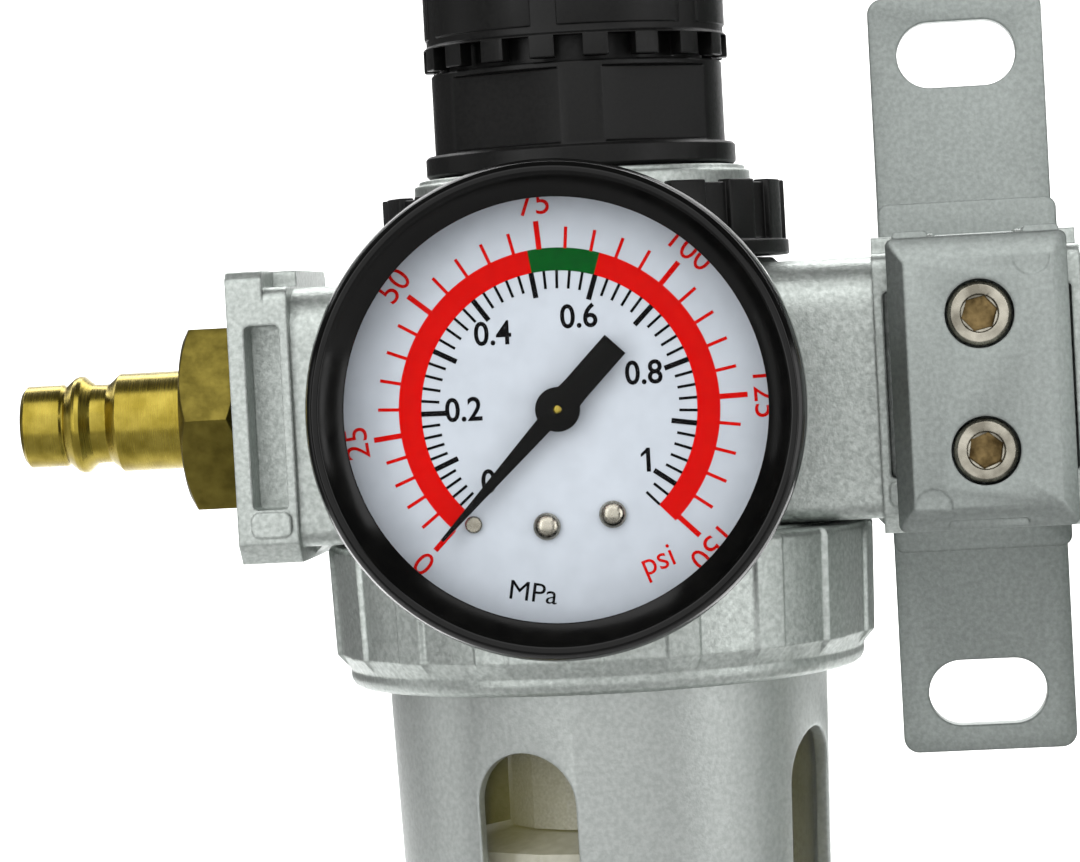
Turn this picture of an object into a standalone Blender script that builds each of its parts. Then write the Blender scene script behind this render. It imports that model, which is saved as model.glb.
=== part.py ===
"""Filter regulator lubricator: a compressed-air service unit on a tee bracket.

X runs with the air from left to right, Y runs back to the wall and Z is up. The origin is the middle of the
bracket's wall face, at the height of the ports. Sizes are in millimetres.
"""
import math

import bmesh
import bpy

for item in list(bpy.data.objects):
    bpy.data.objects.remove(item, do_unlink=True)

MM = 0.001
GAP = 0.3            # clearance between pieces that touch or slide
OVERLAP = 0.4        # how far shapes of one casting run into each other
PAST = 1.0           # how far a cutter runs past the face it opens

BIG_STEPS = 28
MIDDLE_STEPS = 16
SMALL_STEPS = 10
COIL_STEPS = 9

# Bodies and ports
WALL_TO_AXIS = 36.0          # wall face to the centre line of the ports
BODY_HALF = 42.0             # flange face to the body's own axis
BODY_RADIUS = 23.75
BODY_TOP = 16.0
ARM_TOP = 15.3
ARM_BOTTOM = -15.7
ARM_HALF_DEPTH = 15.8
ARM_TOP_ROUND = 6.5
ARM_BOTTOM_ROUND = 2.0
ARM_ROOT_DEPTH = 4.0
FLANGE_HALF_HEIGHT = 17.5
FLANGE_HALF_DEPTH = 16.8
FLANGE_LIP = 4.0
FLANGE_STEP = 3.3
FLANGE_NOTCH = 2.0
FLANGE_NOTCH_DEPTH = 9.0
FLANGE_BEVEL = 2.4
POCKET_START = 2.0
POCKET_WIDTH = 4.2
POCKET_HALF_HEIGHT = 11.0
POCKET_DEPTH = 5.2
PAD_HEIGHT = 3.0
PAD_WIDTH = 4.8
PAD_RISE = 0.5
THREAD_BORE = 9.3
THREAD_DEPTH = 16.0
PASSAGE_RADIUS = 7.0
GAUGE_BOSS_RADIUS = 10.0
BOSS_RISE = 0.85
GAUGE_BOSS_FACE = BODY_RADIUS + BOSS_RISE
GAUGE_PORT_RADIUS = 4.9
CHAMBER_RADIUS = 9.0
INLET_WALL = 5.0
DROP_RADIUS = 3.6

# Lower neck, ring, guard and bowl, the same under both bodies
NECK_SPREAD = 4.85
NECK_RADIUS = BODY_RADIUS + NECK_SPREAD
NECK_TOP = -15.9
NECK_BOTTOM = -28.0
NECK_WALL = 3.5
NECK_BORE = NECK_RADIUS - NECK_WALL
BOWL_LEDGE = -17.0
CAVITY_WALL = 1.75
CAVITY_RADIUS = BODY_RADIUS - CAVITY_WALL
CAVITY_TOP = -9.0
RING_WALL = 4.1
RING_RADIUS = NECK_RADIUS + GAP + RING_WALL
RING_DRAFT = 0.5
RIB_RISE = 0.5
RIB_COUNT = 18
RIB_ANGLE = 8.0
RIB_START = 16.0
RING_PANEL_BOTTOM = -29.5
RIM_STEP = 1.6
RING_RIM_RADIUS = RING_RADIUS - RIM_STEP
RIM_ROUND = 1.5
RING_RIM_TOP = -31.0
RING_BOTTOM = -33.5
GUARD_SHOULDER = 1.75
GUARD_RADIUS = NECK_RADIUS - GUARD_SHOULDER
GUARD_TAPER = 2.6
GUARD_WALL = 1.5
GUARD_FLANGE = 2.2
GUARD_BOTTOM = -128.0
GUARD_ROUND = 7.0
WINDOW_WIDTH = 12.5
WINDOW_TOP = -40.4
WINDOW_BOTTOM = -112.0
WINDOW_TURN = -19.3
WINDOW_COUNT = 4
BOWL_WALL = 2.4

# Regulator top
UPPER_NECK_SHOULDER = 3.25
UPPER_NECK_RADIUS = BODY_RADIUS - UPPER_NECK_SHOULDER
UPPER_NECK_TOP = 27.4
UPPER_NECK_STEP = 0.6
UPPER_NECK_WALL = 2.9
UPPER_NECK_BORE = UPPER_NECK_RADIUS - UPPER_NECK_WALL
DIAPHRAGM_LEDGE = 9.0
NUT_WALL = 3.7
NUT_RADIUS = UPPER_NECK_RADIUS + GAP + NUT_WALL
NUT_LIP_RISE = 0.3
NUT_LIP_RADIUS = NUT_RADIUS + NUT_LIP_RISE
NUT_LIP = 1.8
NUT_HEIGHT = 9.0
NUT_GROOVE = 0.7
NUT_GROOVES = 18
BONNET_FLANGE_RADIUS = 18.9
BONNET_FLANGE = 2.6
BONNET_RADIUS = 17.7
BONNET_FLAT = 16.0
BONNET_SPREAD = 33.2         # degrees from the front, or the back, to each of its two flats
BONNET_TURN = 5.8            # degrees that the flats are turned to the right
BONNET_STEP = 9.0            # degrees between the points of its round sides
BONNET_FLAT_TOP = 40.2
BONNET_TUBE_RADIUS = 15.4
BONNET_TOP = 50.0
BONNET_BORE = 13.0
BONNET_ROOF = 3.6
KNOB_BOTTOM = 40.6
KNOB_RADIUS = 18.1
KNOB_SKIRT_RADIUS = 18.5
KNOB_SKIRT = 3.0
KNOB_WALL = 1.5
KNOB_TOP = 70.0
KNOB_WINDOWS = 18
KNOB_WINDOW_ANGLE = 10.6
KNOB_WINDOW_TURN = 2.0
KNOB_WINDOW_HEIGHT = 2.6
SCREW_RADIUS = 4.0
SCREW_COLLAR_RADIUS = 6.5
SCREW_HEX = 4.5
SCREW_LOW = 20.0
SEAT_THICK = 3.0
SEAT_PLACE = 36.0
PLATE_HUB = 7.8
PLATE_RADIUS = 11.8
PLATE_THICK = 1.4
VALVE_TRAVEL = 1.5
DIAPHRAGM_THICK = 1.2
SPRING_RADIUS = 10.0
SPRING_WIRE = 1.25
SPRING_TURNS = 5

# Valve and filter
TUBE_RADIUS = 13.0
TUBE_BOTTOM = -27.0
VALVE_BORE = 10.0
SEAT_FACE = -10.0
SEAT_TOP = -7.6
SEAT_RADIUS = 5.5
POPPET_RADIUS = 7.2
POPPET_THICK = 3.0
PIN_RADIUS = 1.2
TAIL_RADIUS = 2.4
TAIL_BOTTOM = -19.0
GUIDE_TOP = -23.5
GUIDE_THICK = 2.6
GUIDE_BOSS = 3.8
GUIDE_HOLES = 4
GUIDE_HOLE_RADIUS = 1.3
STUD_RADIUS = 3.0
VALVE_SPRING_RADIUS = 5.2
VALVE_SPRING_WIRE = 0.5
VALVE_SPRING_TURNS = 4
DEFLECTOR_RADIUS = 20.6
DEFLECTOR_ROOT = 18.2
DEFLECTOR_TOP = -20.0
DEFLECTOR_HEIGHT = 6.5
DEFLECTOR_VANES = 10
DEFLECTOR_TWIST = 14.0
ELEMENT_RADIUS = 13.0
ELEMENT_BORE = 8.5
ELEMENT_LENGTH = 24.0
BAFFLE_RADIUS = 20.5
BAFFLE_HEIGHT = 5.0

# Drains
DRAIN_RADIUS = 7.5
DRAIN_FLANGE = 10.5
DRAIN_BORE = 2.2
DRAIN_SPOUT_RADIUS = 4.2
DRAIN_SPOUT = 16.0
DRAIN_KNOB_RADIUS = 9.5
DRAIN_KNOB_HEIGHT = 8.0
DRAIN_KNOB_WINGS = 6

# Inlet plug, lengths from the flange face outwards
PLUG_HEX = 11.0
PLUG_HEX_THICK = 7.3
PLUG_BORE = 3.6
PLUG_SHANK_RADIUS = 6.05
PLUG_SHANK = 9.4
PLUG_NECK_RADIUS = 4.85
PLUG_NECK = 2.9
PLUG_COLLAR_RADIUS = 6.0
PLUG_COLLAR = 3.2
PLUG_TIP_RADIUS = 5.05
PLUG_TIP = 5.4
PLUG_THREAD_LENGTH = 12.0

# Gauge, depths from the body's axis to the front
CASE_BACK = 34.4
CASE_RADIUS = 25.6
CASE_WALL = 1.0
CASE_FRONT = 55.0
BEZEL_WALL = 1.3
BEZEL_RADIUS = CASE_RADIUS + GAP + BEZEL_WALL
BEZEL_BACK = 49.5
BEZEL_FRONT = 58.2
BEZEL_CREST_RADIUS = BEZEL_RADIUS - BEZEL_WALL
BEZEL_LIP = 2.5
BEZEL_SIGHT_RADIUS = CASE_RADIUS - BEZEL_LIP
BEZEL_SIGHT_DEPTH = 2.6
LENS_THICK = 1.2
DIAL_THICK = 0.6
DIAL_TO_LENS = 3.6
POINTER_ZERO = -135.6
POINTER_LENGTH = 19.2
POINTER_TAIL = 9.5
POINTER_TAIL_WIDTH = 3.3
POINTER_HUB = 2.55
POINTER_THICK = 0.8
POINTER_LIFT = 1.0
ARBOR_RADIUS = 0.8
DIAL_SCREW_RADIUS = 1.55
DIAL_SCREW_CIRCLE = 12.95
DIAL_SCREW_ANGLES = {"left": 188.8, "right": 155.8}
STOP_PIN_RADIUS = 0.95
STOP_PIN_CIRCLE = 15.8
STOP_PIN_ANGLE = -140.6
STEM_HEX = 7.0
STEM_THREAD_LENGTH = 11.0
STEM_BLOCK = 5.0
BOURDON_RADIUS = 18.0
BOURDON_WIDE = 3.0
BOURDON_THICK = 1.2
BOURDON_START = -60.0
BOURDON_SWEEP = 264.0
BOURDON_DEPTH = 6.0
SECTOR_RATIO = 6.0
POINTER_SWEEP = 270.0
SOCKET_WIDTH = 4.0
SOCKET_HEIGHT = 3.4

# Bracket, clamp and joint
SPACER_THICK = 9.0
SPACER_HALF_HEIGHT = 17.3
SPACER_FRONT = 16.6
SPACER_BORE = 8.0
EAR_WIDTH = 22.4
EAR_HALF_LENGTH = 49.0
EAR_THICK = 3.5
EAR_ROUND = 2.0
BLOCK_HALF_HEIGHT = 22.0
BLOCK_FRONT = 18.0
BLOCK_WALL = 3.0
JAW_WIDTH = 3.0
JAW_DEPTH = 4.4
SLOT_LENGTH = 15.3
SLOT_WIDTH = 8.5
SLOT_MARGIN = 7.6
SLOT_PLACE = EAR_HALF_LENGTH - SLOT_MARGIN
CLAMP_HALF_HEIGHT = 17.0
CLAMP_HALF_WIDTH = 10.4
CLAMP_FRONT = 25.2
CLAMP_BEVEL = 1.9
CLAMP_END_BEVEL = 2.6
CLAMP_TAB = 0.8
CLAMP_TAB_WIDTH = 4.2
CLAMP_SCREW_PLACE = 7.9
SCREW_HEAD_RADIUS = 3.7
SCREW_HEAD = 4.6
SCREW_SOCKET = 1.85
SCREW_SOCKET_DEPTH = 2.6
COUNTERBORE_RADIUS = SCREW_HEAD_RADIUS + GAP
COUNTERBORE = 5.0
SCREW_SHANK_RADIUS = 2.5
SCREW_LENGTH = 9.0
SEAL_RADIUS = 11.5
SEAL_THICK = 1.2

# Lubricator top
TOP_RADIUS = 23.0
TOP_HEIGHT = 21.0
DOME_BORE = 12.0
DOME_FLOOR = 13.0
DOME_SEAL = 0.9
DOME_FLANGE_RADIUS = 13.3
DOME_RADIUS = 12.2
DOME_WALL = 2.2
DOME_TOP = 41.0
DRIP_RADIUS = 2.4
DRIP_BORE = 1.0
DRIP_TOP = 20.0
NEEDLE_RADIUS = 1.1
NEEDLE_LIFT = 1.0
FEED_KNOB_RADIUS = 7.0
FEED_KNOB_HEIGHT = 6.0
FILL_PLACE = (12.1, -13.2)
FILL_HOLE = 2.8
FILL_HEAD = 3.6
FILL_HEAD_HEIGHT = 3.6
SIPHON_PLACE = 9.6
SIPHON_RADIUS = 1.8
SIPHON_BORE = 1.0
SIPHON_BOTTOM = -108.0
STRAINER_RADIUS = 5.0
STRAINER_HEIGHT = 8.0
FLAP_RADIUS = 6.2
FLAP_THICK = 0.6

# Places that follow from the sizes above
AXIS_Y = -WALL_TO_AXIS
JOINT_HALF = SPACER_THICK / 2 + GAP
BODY_OFFSET = JOINT_HALF + BODY_HALF
BOWL_RADIUS = NECK_BORE - GAP
BOWL_BOTTOM = GUARD_BOTTOM + GUARD_WALL + GAP
DIAL_FRONT = BEZEL_FRONT - BEZEL_SIGHT_DEPTH - GAP - LENS_THICK - DIAL_TO_LENS

UP = (0.0, 0.0, 0.0)
FRONT = (math.pi / 2, 0.0, 0.0)
RIGHT = (math.pi / 2, 0.0, math.pi / 2)
LEFT = (math.pi / 2, 0.0, -math.pi / 2)


def material(name, colour, roughness, metallic=0.0, transmission=0.0):
    """A Principled material with a linear colour."""
    made = bpy.data.materials.new(name)
    made.use_nodes = True
    shader = made.node_tree.nodes["Principled BSDF"]
    shader.inputs["Base Color"].default_value = (*colour, 1.0)
    shader.inputs["Roughness"].default_value = roughness
    shader.inputs["Metallic"].default_value = metallic
    shader.inputs["Transmission Weight"].default_value = transmission
    return made


CAST = material("die-cast aluminium", (0.42, 0.44, 0.44), 0.45, 0.9)
BRASS = material("turned brass", (0.62, 0.47, 0.10), 0.25, 1.0)
STEEL = material("nickel-plated steel", (0.55, 0.52, 0.46), 0.25, 1.0)
SPRING = material("spring steel", (0.40, 0.40, 0.42), 0.30, 1.0)
BLACK = material("black nylon", (0.012, 0.012, 0.012), 0.45)
GLOSS = material("black enamelled steel", (0.008, 0.008, 0.009), 0.15)
RUBBER = material("nitrile rubber", (0.01, 0.01, 0.01), 0.7)
AMBER = material("amber polycarbonate", (0.60, 0.52, 0.16), 0.12, 0.0, 0.8)
CLEAR = material("clear polycarbonate", (0.9, 0.92, 0.92), 0.05, 0.0, 0.9)
GLASS = material("lens", (0.95, 0.97, 0.97), 0.03, 0.0, 0.95)
WHITE = material("white acetal", (0.75, 0.75, 0.72), 0.5)
POROUS = material("sintered polyethylene", (0.80, 0.80, 0.76), 0.8)
DIAL = material("white dial lacquer", (0.78, 0.82, 0.87), 0.5)


def holder(name, place, parent=None):
    """An empty that carries an assembly."""
    made = bpy.data.objects.new(name, None)
    made.location = [value * MM for value in place]
    made.parent = parent
    bpy.context.collection.objects.link(made)
    return made


def finish(name, shape, look, parent, place, turn):
    """Turn a bmesh drawn in millimetres into a named object."""
    bmesh.ops.scale(shape, vec=(MM, MM, MM), verts=shape.verts)
    bmesh.ops.recalc_face_normals(shape, faces=shape.faces)
    mesh = bpy.data.meshes.new(name)
    shape.to_mesh(mesh)
    shape.free()
    mesh.materials.append(look)
    mesh.shade_smooth()
    mesh.set_sharp_from_angle(angle=math.radians(35))
    made = bpy.data.objects.new(name, mesh)
    made.location = [value * MM for value in place]
    made.rotation_euler = turn
    made.parent = parent
    bpy.context.collection.objects.link(made)
    return made


def turned(name, profile, look, parent, place=(0, 0, 0), turn=UP, steps=MIDDLE_STEPS):
    """A lathe shape from a closed profile of (radius, height) points."""
    shape = bmesh.new()
    points = [shape.verts.new((radius, 0, height)) for radius, height in profile]
    edges = [shape.edges.new((points[i - 1], points[i])) for i in range(len(points))]
    bmesh.ops.spin(shape, geom=points + edges, cent=(0, 0, 0), axis=(0, 0, 1), angle=2 * math.pi,
                   steps=steps, use_merge=True)
    bmesh.ops.remove_doubles(shape, verts=shape.verts, dist=0.0001)
    loose = [edge for edge in shape.edges if not edge.link_faces]
    bmesh.ops.delete(shape, geom=loose, context="EDGES")
    return finish(name, shape, look, parent, place, turn)


def skin(shape, loops, capped):
    """Faces through loops of the same number of points."""
    rows = [[shape.verts.new(point) for point in loop] for loop in loops]
    pairs = list(zip(rows, rows[1:]))
    if capped:
        shape.faces.new(rows[0])
        shape.faces.new(rows[-1])
    else:
        pairs.append((rows[-1], rows[0]))
    for low, high in pairs:
        for i in range(len(low)):
            shape.faces.new((low[i - 1], low[i], high[i], high[i - 1]))


def lofted(name, loops, look, parent, place=(0, 0, 0), turn=UP, capped=True):
    """A solid through loops: capped at both ends, or a ring that closes on itself."""
    shape = bmesh.new()
    skin(shape, loops, capped)
    return finish(name, shape, look, parent, place, turn)


def level(outline, height):
    """An outline of (x, y) points at one height."""
    return [(x, y, height) for x, y in outline]


def prism(name, outline, low, high, look, parent, place=(0, 0, 0), turn=UP):
    """An outline pulled up between two heights."""
    return lofted(name, [level(outline, low), level(outline, high)], look, parent, place, turn)


def arc(middle, radius, start, end, count):
    """Points on an arc, with angles in degrees."""
    angles = [math.radians(start + (end - start) * i / count) for i in range(count + 1)]
    return [(middle[0] + radius * math.cos(a), middle[1] + radius * math.sin(a)) for a in angles]


def rounded(x0, y0, x1, y1, radii, count=3):
    """A rectangle with rounded corners: low right, high right, high left and low left."""
    corners = [(x1, y0, -1, 1), (x1, y1, -1, -1), (x0, y1, 1, -1), (x0, y0, 1, 1)]
    points = []
    for number, (x, y, along, up) in enumerate(corners):
        radius = radii[number]
        start = 90 * number - 90
        points += arc((x + along * radius, y + up * radius), radius, start, start + 90, count)
    return points


def swung(outline, degrees):
    """An outline turned about its origin."""
    spin = math.radians(degrees)
    return [(x * math.cos(spin) - y * math.sin(spin), x * math.sin(spin) + y * math.cos(spin)) for x, y in outline]


def polygon(sides, flat, start=0.0):
    """A regular polygon given by the distance from its middle to a flat."""
    corner = flat / math.cos(math.pi / sides)
    return arc((0, 0), corner, start, start + 360 - 360 / sides, sides - 1)


def wheel(spokes, height):
    """A loop from (angle, radius) points."""
    turns = [(math.radians(angle), radius) for angle, radius in spokes]
    return [(radius * math.cos(a), radius * math.sin(a), height) for a, radius in turns]


def same_radius(spokes, radius):
    """The same angles on a plain circle."""
    return [(angle, radius) for angle, _ in spokes]


def slabs(name, sizes, places, parent, look=CAST):
    """Plain blocks that lie apart, in one object. A place is (x, y, z, turn about Z in degrees)."""
    shape = bmesh.new()
    for size, (x, y, z, angle) in zip(sizes, places):
        made = bmesh.ops.create_cube(shape, size=1.0)["verts"]
        bmesh.ops.scale(shape, vec=size, verts=made)
        bmesh.ops.translate(shape, vec=(x, y, z), verts=made)
        spin = math.radians(angle)
        for vert in made:
            px, py = vert.co.x, vert.co.y
            vert.co.x = px * math.cos(spin) - py * math.sin(spin)
            vert.co.y = px * math.sin(spin) + py * math.cos(spin)
    return finish(name, shape, look, parent, (0, 0, 0), UP)


def use(target, tool, operation):
    """Join or cut with another object, which then only guides."""
    step = target.modifiers.new(tool.name, "BOOLEAN")
    step.operation = operation
    step.object = tool
    tool.hide_render = True
    tool.display_type = "WIRE"


def add(target, tool):
    """Join a shape to a piece."""
    use(target, tool, "UNION")


def cut(target, tool):
    """Take a shape out of a piece."""
    use(target, tool, "DIFFERENCE")


def rod(name, radius, low, high, parent, place=(0, 0, 0), turn=UP, steps=MIDDLE_STEPS):
    """A plain round bar, for bores and bosses."""
    profile = [(0, high), (radius, high), (radius, low), (0, low)]
    return turned(name, profile, CAST, parent, place, turn, steps)


def coil(name, radius, wire, low, high, turns, sides, parent):
    """A round-wire spring whose wire stays between two heights."""
    steps = COIL_STEPS * turns
    curve = bpy.data.curves.new(name, "CURVE")
    curve.dimensions = "3D"
    curve.bevel_depth = wire * MM
    curve.bevel_resolution = sides
    curve.use_fill_caps = True
    line = curve.splines.new("POLY")
    line.points.add(steps)
    start = low + wire
    rise = high - wire - start
    for i, point in enumerate(line.points):
        angle = 2 * math.pi * turns * i / steps
        height = start + rise * i / steps
        point.co = (radius * math.cos(angle) * MM, radius * math.sin(angle) * MM, height * MM, 1.0)
    curve.materials.append(SPRING)
    made = bpy.data.objects.new(name, curve)
    made.parent = parent
    bpy.context.collection.objects.link(made)
    return made


def flange_outline(notch):
    """Half of a flange's outline is at the front: bevelled below, and notched above when it is a step."""
    depth = FLANGE_HALF_DEPTH
    high = FLANGE_HALF_HEIGHT
    outline = [(-depth + FLANGE_BEVEL, -high), (depth, -high)]
    if notch:
        outline += [(depth, high - 1), (depth - 1, high), (FLANGE_NOTCH_DEPTH - depth, high)]
        outline += [(FLANGE_NOTCH_DEPTH - depth, high - FLANGE_NOTCH)]
        corner = (-depth + FLANGE_NOTCH, high - 2 * FLANGE_NOTCH)
        outline += arc(corner, FLANGE_NOTCH, 90, 180, 3)
    else:
        outline += [(depth, high - 1), (depth - 1, high), (1 - depth, high), (-depth, high - 1)]
    outline += [(-depth, -high + FLANGE_BEVEL)]
    return outline


def add_flange(body, name, parent, side):
    """One clamp flange: lip, lower step, pad, gusset and the two pockets for the clamp's jaws."""
    face = side * BODY_HALF
    lip_root = face - side * FLANGE_LIP
    step_root = lip_root - side * FLANGE_STEP
    lip = sorted((face, lip_root - side * OVERLAP))
    step = sorted((lip_root, step_root))
    add(body, prism(name + " lip", flange_outline(False), *lip, CAST, parent, turn=RIGHT))
    add(body, prism(name + " step", flange_outline(True), *step, CAST, parent, turn=RIGHT))
    pocket_middle = face - side * (POCKET_START + POCKET_WIDTH / 2)
    pad_high = -POCKET_HALF_HEIGHT - GAP
    pad = rounded(pocket_middle - PAD_WIDTH / 2, pad_high - PAD_HEIGHT, pocket_middle + PAD_WIDTH / 2,
                  pad_high, (1, 1, 1, 1))
    add(body, prism(name + " pad", pad, FLANGE_HALF_DEPTH - 1, FLANGE_HALF_DEPTH + PAD_RISE, CAST, parent,
                    turn=FRONT))
    foot = step_root + side * OVERLAP
    toe = side * (RING_RADIUS + RIB_RISE + GAP)
    gusset = [(foot, -FLANGE_HALF_HEIGHT), (foot, ARM_BOTTOM + 2), (toe - side * 2, ARM_BOTTOM + 2)]
    gusset += [(toe - side * 2, ARM_BOTTOM + OVERLAP), (toe, ARM_BOTTOM - OVERLAP)]
    if side > 0:
        gusset.reverse()
    add(body, prism(name + " gusset", gusset, -4, 4, CAST, parent, turn=FRONT))
    size = (POCKET_WIDTH, POCKET_DEPTH + PAST, 2 * POCKET_HALF_HEIGHT)
    depth = FLANGE_HALF_DEPTH - POCKET_DEPTH + (POCKET_DEPTH + PAST) / 2
    places = [(pocket_middle, way * depth, 0, 0) for way in (-1, 1)]
    cut(body, slabs(name + " pockets", [size, size], places, parent))


def service_body(name, parent, top_profile):
    """The casting that both units share: arms, flanges, round middle and lower neck."""
    profile = top_profile + [(BODY_RADIUS - 1, BODY_TOP), (BODY_RADIUS, BODY_TOP - 1), (BODY_RADIUS, NECK_TOP),
                             (NECK_RADIUS, NECK_TOP), (NECK_RADIUS, NECK_BOTTOM), (NECK_BORE, NECK_BOTTOM),
                             (NECK_BORE, BOWL_LEDGE), (CAVITY_RADIUS, BOWL_LEDGE), (CAVITY_RADIUS, CAVITY_TOP)]
    body = turned(name, profile, CAST, parent, steps=BIG_STEPS)
    radii = (ARM_BOTTOM_ROUND, ARM_TOP_ROUND, ARM_TOP_ROUND, ARM_BOTTOM_ROUND)
    arm = rounded(-ARM_HALF_DEPTH, ARM_BOTTOM, ARM_HALF_DEPTH, ARM_TOP, radii, 3)
    reach = BODY_HALF - FLANGE_LIP - FLANGE_STEP + OVERLAP
    root = CAVITY_RADIUS - ARM_ROOT_DEPTH
    for side, way in (("left", -1), ("right", 1)):
        ends = sorted((way * reach, way * root))
        add(body, prism(f"{name} {side} arm", arm, *ends, CAST, parent, turn=RIGHT))
        add_flange(body, f"{name} {side} flange", parent, way)
    return body


def port_profile(inner):
    """A threaded port, from past the flange's face down to the narrower passage behind it."""
    return [(0, BODY_HALF + PAST), (THREAD_BORE, BODY_HALF + PAST), (THREAD_BORE, BODY_HALF - THREAD_DEPTH),
            (PASSAGE_RADIUS, BODY_HALF - THREAD_DEPTH - 2), (PASSAGE_RADIUS, inner), (0, inner)]


def bowl_set(prefix, ring_name, parent):
    """Ring, guard, bowl, seal and drain that hang under a body."""
    pitch = 360 / RIB_COUNT
    spokes = []
    for i in range(RIB_COUNT):
        start = i * pitch - RIB_START - RIB_ANGLE - 90
        spokes += [(start, RING_RADIUS), (start + 0.8, RING_RADIUS + RIB_RISE)]
        spokes += [(start + RIB_ANGLE - 0.8, RING_RADIUS + RIB_RISE), (start + RIB_ANGLE, RING_RADIUS)]
    inner = NECK_RADIUS + GAP
    lip = GUARD_RADIUS + GAP
    lip_top = NECK_BOTTOM - GAP - GUARD_FLANGE - GAP
    plain = same_radius(spokes, RING_RIM_RADIUS)
    foot = same_radius(spokes, RING_RIM_RADIUS - RIM_ROUND)
    drafted = [(angle, radius - RING_DRAFT) for angle, radius in spokes]
    high = NECK_TOP - GAP
    loops = [wheel(foot, RING_BOTTOM), wheel(plain, RING_BOTTOM + RIM_ROUND), wheel(plain, RING_RIM_TOP),
             wheel(drafted, RING_PANEL_BOTTOM), wheel(spokes, high)]
    ring = lofted(ring_name, loops, CAST, parent)
    profile = [(0, high + PAST), (inner, high + PAST), (inner, lip_top), (lip, lip_top), (lip, RING_BOTTOM - PAST),
               (0, RING_BOTTOM - PAST)]
    cut(ring, turned(ring_name + " bore", profile, CAST, parent, steps=BIG_STEPS))

    top = NECK_BOTTOM - GAP
    low = GUARD_BOTTOM
    foot = GUARD_RADIUS - GUARD_TAPER
    bore = foot - GUARD_WALL
    hole = DRAIN_RADIUS + GAP
    profile = [(NECK_RADIUS, top), (NECK_RADIUS, top - GUARD_FLANGE), (GUARD_RADIUS, top - GUARD_FLANGE)]
    profile += [(foot - GUARD_ROUND + x, low + GUARD_ROUND + y)
                for x, y in arc((0, 0), GUARD_ROUND, 0, -90, 2)]
    profile += [(hole, low), (hole, low + GUARD_WALL)]
    inner_round = GUARD_ROUND - GUARD_WALL
    profile += [(bore - inner_round + x, low + GUARD_ROUND + y)
                for x, y in arc((0, 0), inner_round, -90, 0, 2)]
    profile += [(GUARD_RADIUS - GUARD_WALL, top)]
    guard = turned(prefix + "_guard", profile, CAST, parent, steps=BIG_STEPS)
    half = WINDOW_WIDTH / 2
    outline = arc((0, WINDOW_TOP - half), half, 0, 180, 5) + arc((0, WINDOW_BOTTOM + half), half, 180, 360, 5)
    for i in range(WINDOW_COUNT // 2):
        turn = (math.pi / 2, 0, math.radians(WINDOW_TURN + 180 / (WINDOW_COUNT / 2) * i))
        reach = NECK_RADIUS
        cut(guard, prism(f"{prefix} window {i}", outline, -reach, reach, CAST, parent, turn=turn))

    outer = BOWL_RADIUS
    seal_low = BOWL_LEDGE - GAP - 1.6
    bowl_top = seal_low - GAP
    foot = GUARD_RADIUS - GUARD_TAPER - GUARD_WALL - GAP
    inner_foot = foot - BOWL_WALL
    low = BOWL_BOTTOM
    outer_round = inner_round
    rounding = outer_round - BOWL_WALL
    profile = [(outer, bowl_top), (outer, NECK_BOTTOM)]
    profile += [(foot - outer_round + x, low + outer_round + y)
                for x, y in arc((0, 0), outer_round, 0, -90, 2)]
    profile += [(DRAIN_RADIUS + GAP, low), (DRAIN_RADIUS + GAP, low + BOWL_WALL)]
    profile += [(inner_foot - rounding + x, low + BOWL_WALL + rounding + y)
                for x, y in arc((0, 0), rounding, -90, 0, 2)]
    profile += [(outer - BOWL_WALL, bowl_top)]
    turned(prefix + "_bowl", profile, AMBER, parent)
    seal = [(outer, BOWL_LEDGE - GAP), (outer, seal_low), (outer - 1.8, seal_low), (outer - 1.8, BOWL_LEDGE - GAP)]
    turned(prefix + "_bowl_seal", seal, RUBBER, parent)

    inside = low + BOWL_WALL + GAP
    spout = GUARD_BOTTOM - DRAIN_SPOUT
    profile = [(DRAIN_BORE, inside + 2), (DRAIN_FLANGE, inside + 2), (DRAIN_FLANGE, inside),
               (DRAIN_RADIUS, inside), (DRAIN_RADIUS, GUARD_BOTTOM - 2), (DRAIN_SPOUT_RADIUS, GUARD_BOTTOM - 2),
               (DRAIN_SPOUT_RADIUS, spout), (DRAIN_BORE, spout)]
    turned(prefix + "_drain_body", profile, BLACK, parent)
    pitch = 360 / DRAIN_KNOB_WINGS
    wings = []
    for i in range(DRAIN_KNOB_WINGS):
        for part, radius in ((0, DRAIN_KNOB_RADIUS), (0.45, DRAIN_KNOB_RADIUS), (0.6, DRAIN_KNOB_RADIUS - 1),
                             (0.85, DRAIN_KNOB_RADIUS - 1)):
            wings.append(((i + part) * pitch, radius))
    high = GUARD_BOTTOM - 2 - GAP
    knob_low = high - DRAIN_KNOB_HEIGHT
    hole = same_radius(wings, DRAIN_SPOUT_RADIUS + GAP)
    loops = [wheel(hole, knob_low), wheel(same_radius(wings, DRAIN_KNOB_RADIUS - 2), knob_low),
             wheel(wings, knob_low + 1), wheel(wings, high), wheel(hole, high)]
    lofted(prefix + "_drain_knob", loops, BLACK, parent, capped=False)


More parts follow.
